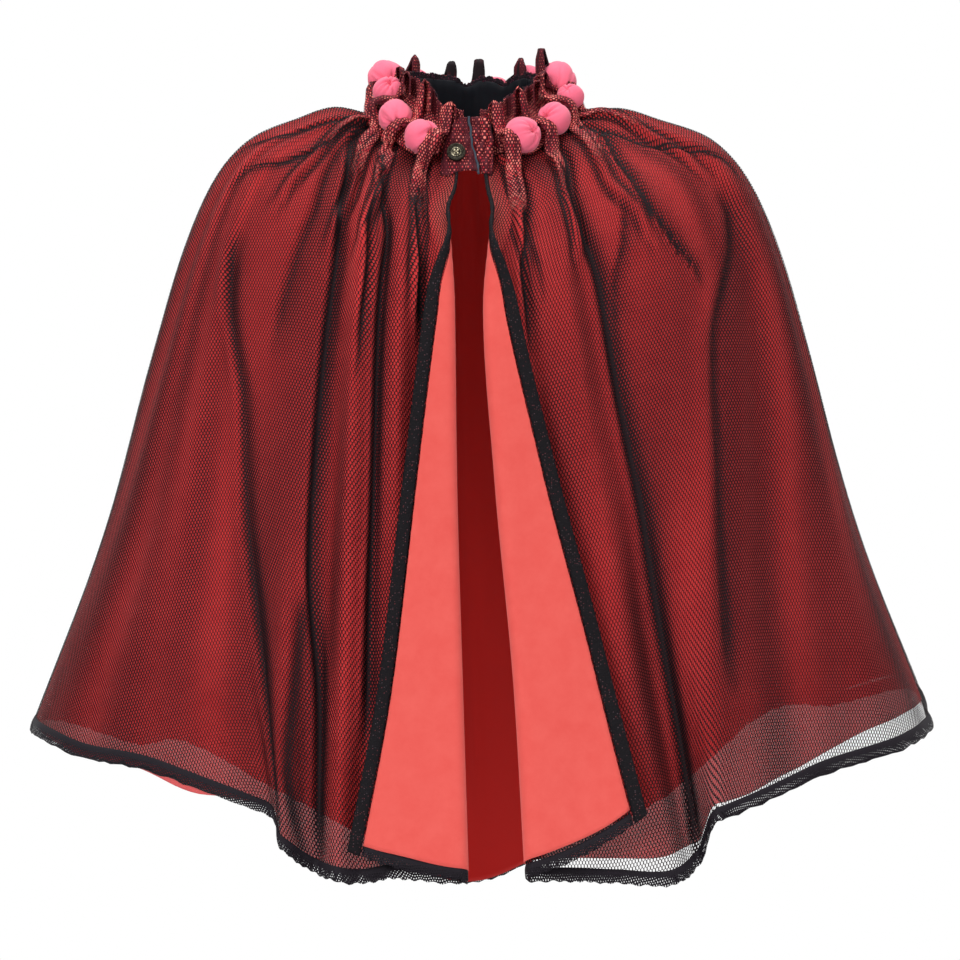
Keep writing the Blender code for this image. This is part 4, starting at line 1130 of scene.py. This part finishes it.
def pleatKnots(pleat):
    # place, facing, half its width and how far it bulges in millimetres, from the collar down
    turn = math.radians(pleat.turn)
    ring = ringAt(turn)
    level = unit(ring * (1, 1, 0))
    up = np.array((0, 0, 1.0))
    lean = unit(ringAt(turn + 0.05) - ringAt(turn - 0.05)) * pleat.lean
    slanted = np.array(turn + math.radians(pleat.slant))
    top, foot = collarPoint(slanted, 1.0, 1.0), collarPoint(slanted, 0.55, 1.0)
    flare = 6.6 * pleat.flare
    crown = top * (0.82, 0.82, 1) + ring * (0.18, 0.18, 0) + up * (0.0002 + pleat.hump) + lean
    behind = top * (0.52, 0.52, 0) + ring * (0.48, 0.48, 1)
    behind = behind + up * (0.0050 + 0.25 * pleat.hump - 0.6 * pleat.sunk) + 0.8 * lean
    knots = [
        (foot + level * 0.0024 + lean, -level, flare, 1.2),
        (top + level * 0.0018 + up * 0.50 * pleat.hump + lean, 0.25 * up - level, 0.5 * flare + 3.4, 1.5),
        (crown, up, pleat.tip, 1.9),
        (behind, up + (0.5 + 60 * pleat.hump) * level, 6.2, 2.8),
        (ring + up * (0.0040 - pleat.sunk), up + 0.5 * level, 6.4, 3.6),
        (ring * (1.13, 1.13, 1) - up * 0.0020, level + 0.4 * up, 6.8, 3.8),
    ]
    piece, index = pleat.path
    heights, angles = zip(*pleats[piece][index])
    for along, lift, wide, rise in pleatEnd:
        place, out = clothAt(piece, float(through(heights, angles, along)), along)
        knots.append((place + out * (lift - rise / 1000), out, wide, rise))
    return knots


def mergingAt(at, marks, bend):
    # how far a strip has faded into the cape, down its last stretch and out at its flanks
    top, bottom = (marks[-4] + share * (marks[-1] - marks[-4]) for share in (0.10, 0.95))
    ending = np.clip((at - top) / (bottom - top), 0, 1)[:, None] * 1.1
    flanks = np.clip((np.abs(bend) - 0.75) / 0.55, 0, 1) * np.clip((at - marks[5]) / 0.10, 0, 1)[:, None]
    return np.clip(np.maximum(ending, flanks), 0, 1)


def makePleatStrip(number, pleat):
    knots = pleatKnots(pleat)
    points, marks, length = alongCurve([knot[0] for knot in knots], 64)
    at = np.linspace(0, 1, len(points))
    facing = [unit(knot[1]) for knot in knots]
    normal = np.stack([through(marks, [way[k] for way in facing], at) for k in range(3)], axis=1)
    wide = through(marks, [knot[2] for knot in knots], at) / 1000 * pleat.wide
    wide = wide * (1 + 0.035 * np.sin(at * 17 + number) + 0.02 * np.sin(at * 31 + 2 * number))
    rise = through(marks, [knot[3] for knot in knots], at) / 1000
    way = ways(points[None], 1)[0]
    way /= np.linalg.norm(way, axis=1, keepdims=True)
    across = np.cross(normal, way)
    across /= np.linalg.norm(across, axis=1, keepdims=True)
    normal = np.cross(way, across)

    # its section is an arch with one crease down it
    bend = np.linspace(-1.9, 1.9, 23)[None]
    crease = pleat.creased + 0.12 * np.sin(at * 9 + number)[:, None]
    dip = np.exp(-(((np.sin(bend) - crease) / 0.16) ** 2))
    lift = rise[:, None] * (np.cos(bend) - 0.42 * dip * np.sin(math.pi * at)[:, None])
    strip = points[:, None] + across[:, None] * (wide[:, None] * np.sin(bend))[..., None]
    strip += normal[:, None] * lift[..., None]
    sideways = lengthAlong(strip, 1)
    endways = np.broadcast_to(at[:, None] * length, sideways.shape)
    cut = np.stack([sideways + 0.05 * number, endways], axis=-1)
    # its loop over the ring, and its flanks where they turn under, are darkened: bunched net and painted
    # shade
    tightAndShaded = pleat.bunched * np.clip(2.6 - 4 * at, 0, 1)[:, None]
    tightAndShaded = tightAndShaded + 0.6 * dip * np.clip(2.2 - 2.4 * at, 0, 1)[:, None]
    tightAndShaded = tightAndShaded + 0.6 * np.clip(np.abs(bend) - 1.15, 0, 0.6)
    tightAndShaded = tightAndShaded + 0.16 * np.sin(at * 23 + 1.7 * number)[:, None]
    outward = outWays(strip)
    if np.sum(outward[:, 11] * normal) < 0:
        strip, cut, outward, tightAndShaded = strip[:, ::-1], cut[:, ::-1], -outward[:, ::-1], tightAndShaded[:, ::-1]
    wall = makeWall(f"pleat_strip_{number:02d}", strip, outward, -wallHalf["strip"], wallHalf["strip"], cut,
                    {"bunched": tightAndShaded, "merging": mergingAt(at, marks, bend)}, finishes["netOnCoral"])
    finishPiece(wall, "net on coral", f"strap_{number:02d}")


def makePleatStrips():
    for number, pleat in enumerate(pleatStrips, start=1):
        makePleatStrip(number, pleat)
    print("pleat strips made:", len(pleatStrips))


def makeYoke():
    reach = math.radians(yoke["reach"])
    turns = np.linspace(-reach, reach, yoke["columns"] + 1)
    share = np.linspace(0, 1, yoke["rows"])[:, None]
    inner = collarPoint(turns, yoke["from"], 0.0)
    ring = np.array([ringAt(turn) for turn in turns]) - (0, 0, yoke["under"])
    low = ring * (1.06, 1.06, 1) - (0, 0, yoke["down"])
    across = share[..., None]
    points = (1 - across) ** 2 * inner + 2 * (across * (1 - across)) * ring + across**2 * low
    wave = collarWave(turns[None], 0.5) * np.sin(math.pi * share) ** 0.6
    points[..., 2] += yoke["waves"] * wave + 0.0005 * np.sin(turns * 67 + 2 * np.sin(turns * 7)) * (1 - share)
    cut = np.stack([lengthAlong(points, 1), lengthAlong(points, 0)], axis=-1)
    wall = makeWall("gathered_yoke", points, outWays(points), -wallHalf["strip"], wallHalf["strip"], cut,
                    {"bunched": 0.12 + 0.45 * np.clip(-wave, 0, 1)}, finishes["netOnCoral"])
    finishPiece(wall, "net on coral")
    print("yoke made")


def ballSwell(chance, polar, around):
    # how far a ball stands out everywhere: gathers from each tie, long soft creases and low lumps
    swell = np.ones(np.broadcast_shapes(polar.shape, around.shape))
    for end in (0, math.pi):
        fromTie = np.abs(polar - end)
        for _ in range(chance.integers(*ballShape["gathers"])):
            at, reach = chance.uniform(0, 2 * math.pi), chance.uniform(0.5, 1.35)
            deep, slant = chance.uniform(0.5, 1.0), chance.uniform(-0.35, 0.35)
            apart = (around - at - slant * fromTie + math.pi) % (2 * math.pi) - math.pi
            crease = np.exp(-((apart * np.sin(polar) / ballShape["gatherWide"]) ** 2))
            crease = crease * np.exp(-((fromTie / reach) ** 2))
            swell -= ballShape["gatherDeep"] * deep * crease * np.clip(fromTie / 0.10, 0.3, 1)
    for _ in range(ballShape["creases"]):
        at, middle = chance.uniform(0, 2 * math.pi), chance.uniform(0.9, 2.2)
        apart = (around - at - 0.3 * (polar - middle) + math.pi) % (2 * math.pi) - math.pi
        crease = ballShape["creaseDeep"] * np.exp(-((apart * np.sin(polar) / 0.06) ** 2))
        swell -= crease * np.exp(-(((polar - middle) / 0.55) ** 2))
    lumps = 0.018 * np.sin(3 * around + 2 * polar + chance.uniform(0, 6)) * np.sin(polar)
    swell += lumps + 0.012 * np.cos(5 * around - 3 * polar + chance.uniform(0, 6)) * np.sin(polar) ** 2
    return swell


def makeBall(ball, chance):
    # a small bag of lawn, gathered to a tie at both its ends
    rings, turns = ballShape["rings"], ballShape["turns"]
    low, high = (np.array(corner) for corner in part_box(ball.node))
    centre = (low + high) / 2 + ball.moved
    size = ballShape["radius"] * ball.size
    axis = unit(np.array(ball.pole))
    side = unit(np.cross(axis, (0.2, -0.9, 0.3)))
    front = np.cross(axis, side)
    polar = np.linspace(0, math.pi, rings + 1)[1:-1, None]
    around = np.linspace(0, 2 * math.pi, turns, endpoint=False)[None]
    swell = ballSwell(chance, polar, around)
    drawn = -0.09 * np.exp(-((polar / 0.30) ** 2)) + 0.15 * np.exp(-((polar / 0.11) ** 2))
    drawn = drawn + ball.drawn * np.exp(-(((math.pi - polar) / 0.50) ** 2))
    reach = (np.cos(polar) * (swell + drawn))[..., None] * axis
    spoke = np.cos(around)[..., None] * side + np.sin(around)[..., None] * front
    body = centre + size * (reach + (np.sin(polar) * swell)[..., None] * spoke)
    ends = [centre + size * axis * 1.06, centre - size * axis * (0.96 + ball.drawn)]
    vertices = np.concatenate([body.reshape(-1, 3), ends])
    index = np.arange((rings - 1) * turns).reshape(rings - 1, turns)
    after = np.roll(index, -1, axis=1)
    faces = np.stack([index[:-1], index[1:], after[1:], after[:-1]], axis=-1).reshape(-1, 4).tolist()
    first, last = len(vertices) - 2, len(vertices) - 1
    faces += [[first, a, b] for a, b in zip(index[0].tolist(), after[0].tolist())]
    faces += [[last, b, a] for a, b in zip(index[-1].tolist(), after[-1].tolist())]
    obj = meshObject("padded_" + ball.node, vertices, faces, finishes["ball"])
    finishPiece(obj, "pink cotton", ball.node)


def makeBalls():
    chance = np.random.default_rng(7)
    for ball in balls:
        makeBall(ball, chance)
    print("balls made:", len(balls))


# The front closure: a tab that buttons over a stand, with slate piping between them.

closure = {"wall": 0.0011, "bend": 0.070, "piping": 0.0011, "pipingGap": 0.0004, "rows": 40, "columns": 34}
Edging = namedtuple("Edging", "z y tabX tabEdge standEnd")
closureLevels = [
    Edging(-0.0080, -0.0452, -0.0125, -0.0040, 0.0165),
    Edging(-0.0200, -0.0490, -0.0195, -0.0030, 0.0178),
    Edging(-0.0320, -0.0532, -0.0238, -0.0008, 0.0186),
    Edging(-0.0430, -0.0580, -0.0256, 0.0016, 0.0186),
    Edging(-0.0520, -0.0635, -0.0268, 0.0038, 0.0180),
    Edging(-0.0590, -0.0670, -0.0275, 0.0052, 0.0172),
]
button = {
    "place": (-0.0136, -0.0398), "radius": 0.0082, "thick": 0.0030, "seat": 0.0010, "corners": 56,
    "steps": ((0.0006, 0.0005), (0.0011, 0.0), (0.0005, -0.0009), (0.0012, -0.0001), (0.0010, 0.0004)),
    "bevel": 0.00028, "petals": 4, "petalRing": 0.0021, "petal": 0.00125, "boss": 0.0008,
    "ring": 0.0040, "ringWire": 0.00022,
}


def closurePoint(x, z, proud=0.0):
    levels = closureLevels[::-1]
    y = through(column(levels, "z"), column(levels, "y"), z)
    return np.stack(np.broadcast_arrays(x, y - proud + x * x / (2 * closure["bend"]), z), axis=-1)


def closurePart(name, node, starts, ends, ruffle, arched, drawn):
    # net on coral between two upright edges, ruffled, its lower edge cut in an arch and drawn tight
    share = np.linspace(0, 1, closure["columns"])[None]
    top, bottom = closureLevels[0].z, closureLevels[-1].z
    z = np.linspace(top, bottom, closure["rows"])[:, None]
    levels = closureLevels[::-1]
    start, end = (through(column(levels, "z"), values[::-1], z) for values in (starts, ends))
    x = start + (end - start) * share
    flutes = 0.0012 * np.sin(share * math.pi) + ruffle * 0.0009 * np.sin(x * 900 + 3 * np.sin(z * 90))
    flutes = flutes + ruffle * 0.0008 * np.sin(z * 520 + x * 210)
    arch = np.clip(1 - ((x + 0.001) / 0.0165) ** 2, 0, 1) ** 0.5
    z = top + (z - top) * (1 - arched * arch / (top - bottom))
    points = closurePoint(x, z, flutes)
    # darker towards both upright edges and along the ruffles: bunched net, and at the edges the threads take
    # the painted-shade tone
    tightAndShaded = drawn + 0.35 * np.clip(np.sin(x * 520 + z * 130 + 1.2), 0, 1) * ruffle
    tightAndShaded = tightAndShaded + 0.5 * np.abs(2 * share - 1) ** 6
    cut = np.stack(np.broadcast_arrays(x, z), axis=-1)
    wall = makeWall(name, points, outWays(points), -closure["wall"], closure["wall"], cut,
                    {"bunched": tightAndShaded}, finishes["netOnCoral"])
    finishPiece(wall, "net on coral", node)


def makeClosure():
    gap = 2 * (closure["piping"] + closure["pipingGap"])
    edge = np.array(column(closureLevels, "tabEdge"))
    closurePart("buttonhole_tab", "button_tab", column(closureLevels, "tabX"), edge.tolist(),
                ruffle=1.0, arched=0.0050, drawn=0.32)
    closurePart("button_stand_front", "button_stand", (edge + gap).tolist(),
                column(closureLevels, "standEnd"), ruffle=1.3, arched=0.0035, drawn=0.12)
    z = np.linspace(closureLevels[0].z + 0.0010, closureLevels[-1].z + 0.0020, 60)
    x = through(column(closureLevels[::-1], "z"), edge[::-1], z) + gap / 2
    wave = 0.0005 * np.sin(z * 240) + 0.0003 * np.sin(z * 610)
    line = closurePoint(x + wave, z, 0.0004)
    cord = tubeMesh("piping_cord", line, closure["piping"], finishes["piping"], sides=10)
    finishPiece(cord, "navy satin", "piping")
    print("closure made")


def makeButton():
    # a turned disc with a raised rim, stepped in from its top face, and a rosette of petals
    x, z = button["place"]
    spot = closurePoint(np.array(x), np.array(z))
    above, below = (closurePoint(np.array(x), np.array(z + step)) for step in (0.003, -0.003))
    lean = math.atan2(float(above[1] - below[1]), float(above[2] - below[2]))
    bpy.ops.object.select_all(action="DESELECT")
    bpy.ops.mesh.primitive_cylinder_add(vertices=button["corners"], radius=button["radius"],
                                        depth=button["thick"])
    disc = bpy.context.object
    disc.name = "rosette_button"
    disc.data.name = "rosette_button"
    bpy.ops.object.mode_set(mode="EDIT")
    bpy.ops.mesh.select_mode(type="FACE")
    for inset, rise in button["steps"]:
        selectTop(disc)
        bpy.ops.mesh.inset(thickness=inset, depth=0)
        bpy.ops.transform.translate(value=(0, 0, rise))
    bpy.ops.object.mode_set(mode="OBJECT")
    rounded = disc.modifiers.new("rounded", "BEVEL")
    rounded.width = button["bevel"]
    rounded.segments = 3
    rounded.limit_method = "ANGLE"
    rounded.angle_limit = math.radians(25)
    bpy.ops.object.modifier_apply(modifier=rounded.name)
    disc.data.materials.append(finishes["bronze"])
    lobes = []
    for turn in range(button["petals"]):
        angle = math.radians(45 + 90 * turn)
        bpy.ops.mesh.primitive_uv_sphere_add(
            segments=20, ring_count=12, radius=button["petal"],
            location=(button["petalRing"] * math.cos(angle), button["petalRing"] * math.sin(angle), 0.0011))
        lobes.append(bpy.context.object)
    bpy.ops.mesh.primitive_uv_sphere_add(segments=18, ring_count=10, radius=button["boss"],
                                         location=(0, 0, 0.0014))
    lobes.append(bpy.context.object)
    bpy.ops.mesh.primitive_torus_add(major_radius=button["ring"], minor_radius=button["ringWire"],
                                     major_segments=48, minor_segments=8, location=(0, 0, 0.0012))
    lobes.append(bpy.context.object)
    for lobe in lobes:
        lobe.data.materials.append(finishes["rosette"])
        lobe.select_set(True)
    disc.select_set(True)
    bpy.context.view_layer.objects.active = disc
    bpy.ops.object.join()
    bpy.ops.object.shade_smooth_by_angle(angle=math.radians(40))
    bpy.ops.object.mode_set(mode="EDIT")
    bpy.ops.mesh.select_all(action="SELECT")
    bpy.ops.mesh.normals_make_consistent(inside=False)
    bpy.ops.object.mode_set(mode="OBJECT")
    rise = closure["wall"] + button["seat"] + button["thick"] / 2
    disc.rotation_euler = (math.pi / 2 - lean, 0, 0.35 * x / closure["bend"])
    disc.location = (x, float(spot[1]) - rise * math.cos(lean) - 0.0012, z + rise * math.sin(lean))
    bpy.ops.object.transform_apply(location=True, rotation=True, scale=True)
    finishPiece(disc, "dark bronze", "button")
    print("button made")


def selectTop(obj):
    # leaves only the flat face at the middle of the top selected
    bpy.ops.mesh.select_all(action="DESELECT")
    bpy.ops.object.mode_set(mode="OBJECT")
    facing = [face for face in obj.data.polygons if face.normal.z > 0.99]
    middle = min(facing, key=lambda face: face.center.xy.length)
    middle.select = True
    bpy.ops.object.mode_set(mode="EDIT")


makeCollar()
makeYoke()
makePleatStrips()
makeBalls()
makeClosure()
makeButton()


# The studio: a pale floor where the wearer would stand, soft lamps, a white surround.

studio = {
    "floorHeight": -1.35, "floorRadius": 3.0, "ambient": 0.42,
    "elevation": 3.0, "distance": 5.0, "target": (0.007, 0.0, -0.326), "across": 0.8448,
}
Lamp = namedtuple("Lamp", "name place size power")
lamps = [
    Lamp("key", (-2.2, -3.4, 1.5), 2.4, 112),
    Lamp("fill", (2.8, -3.0, 0.4), 2.4, 46),
    Lamp("top", (0.0, 0.4, 3.0), 2.6, 90),
]


def makeFloor():
    made, tree = newMaterial("painted studio floor")
    where = addNode(tree, "ShaderNodeTexCoord")
    patches = addNode(tree, "ShaderNodeTexNoise", {"Scale": 3.0, "Detail": 3.0},
                      {"Vector": where.outputs["Object"]})
    tone = addNode(tree, "ShaderNodeMix",
                   {"data_type": "RGBA", 6: toLinear("#f4f4f4"), 7: toLinear("#fbfbfb")},
                   {0: patches.outputs[0]})
    body = addNode(tree, "ShaderNodeBsdfPrincipled", {"Roughness": 0.9, "Specular IOR Level": 0.1},
                   {"Base Color": tone.outputs[2]})
    finishMaterial(tree, body.outputs[0])
    bpy.ops.mesh.primitive_circle_add(vertices=96, radius=studio["floorRadius"], fill_type="NGON",
                                      location=(0, 0, studio["floorHeight"]))
    floor = bpy.context.object
    floor.name = "studio_floor"
    bpy.ops.object.transform_apply(location=True, rotation=True, scale=True)
    floor.data.materials.append(made)


def makeWorld():
    world = bpy.data.worlds.new("white surround")
    world.use_nodes = True
    tree = world.node_tree
    tree.nodes.clear()
    path = addNode(tree, "ShaderNodeLightPath")
    seen = path.outputs["Is Camera Ray"]
    for ray in ("Is Glossy Ray", "Is Transmission Ray"):
        either = addNode(tree, "ShaderNodeMath", {"operation": "MAXIMUM"}, {0: seen, 1: path.outputs[ray]})
        seen = either.outputs[0]
    level = addNode(tree, "ShaderNodeMapRange", {"To Min": studio["ambient"], "To Max": 1.0}, {"Value": seen})
    glow = addNode(tree, "ShaderNodeBackground", {"Color": (1, 1, 1, 1)}, {"Strength": level.outputs[0]})
    addNode(tree, "ShaderNodeOutputWorld", {}, {"Surface": glow.outputs[0]})
    bpy.context.scene.world = world


def aim(obj, target):
    obj.rotation_euler = (Vector(target) - obj.location).to_track_quat("-Z", "Y").to_euler()


def makeLamps():
    for lamp in lamps:
        bpy.ops.object.light_add(type="AREA", location=lamp.place)
        light = bpy.context.object
        light.name = "softbox_" + lamp.name
        light.data.energy = lamp.power
        light.data.shape = "DISK"
        light.data.size = lamp.size
        aim(light, (0, 0, -0.35))


def makeCamera():
    tilt = math.radians(studio["elevation"])
    x, y, z = studio["target"]
    away = studio["distance"]
    place = (x, y - away * math.cos(tilt), z + away * math.sin(tilt))
    bpy.ops.object.camera_add(location=place)
    camera = bpy.context.object
    camera.data.sensor_width = 36
    camera.data.lens = 36 * away / studio["across"]
    camera.data.clip_end = 30
    aim(camera, studio["target"])
    bpy.context.scene.camera = camera


makeFloor()
makeWorld()
makeLamps()
makeCamera()
bpy.context.scene.view_settings.view_transform = "Standard"
print("studio made")
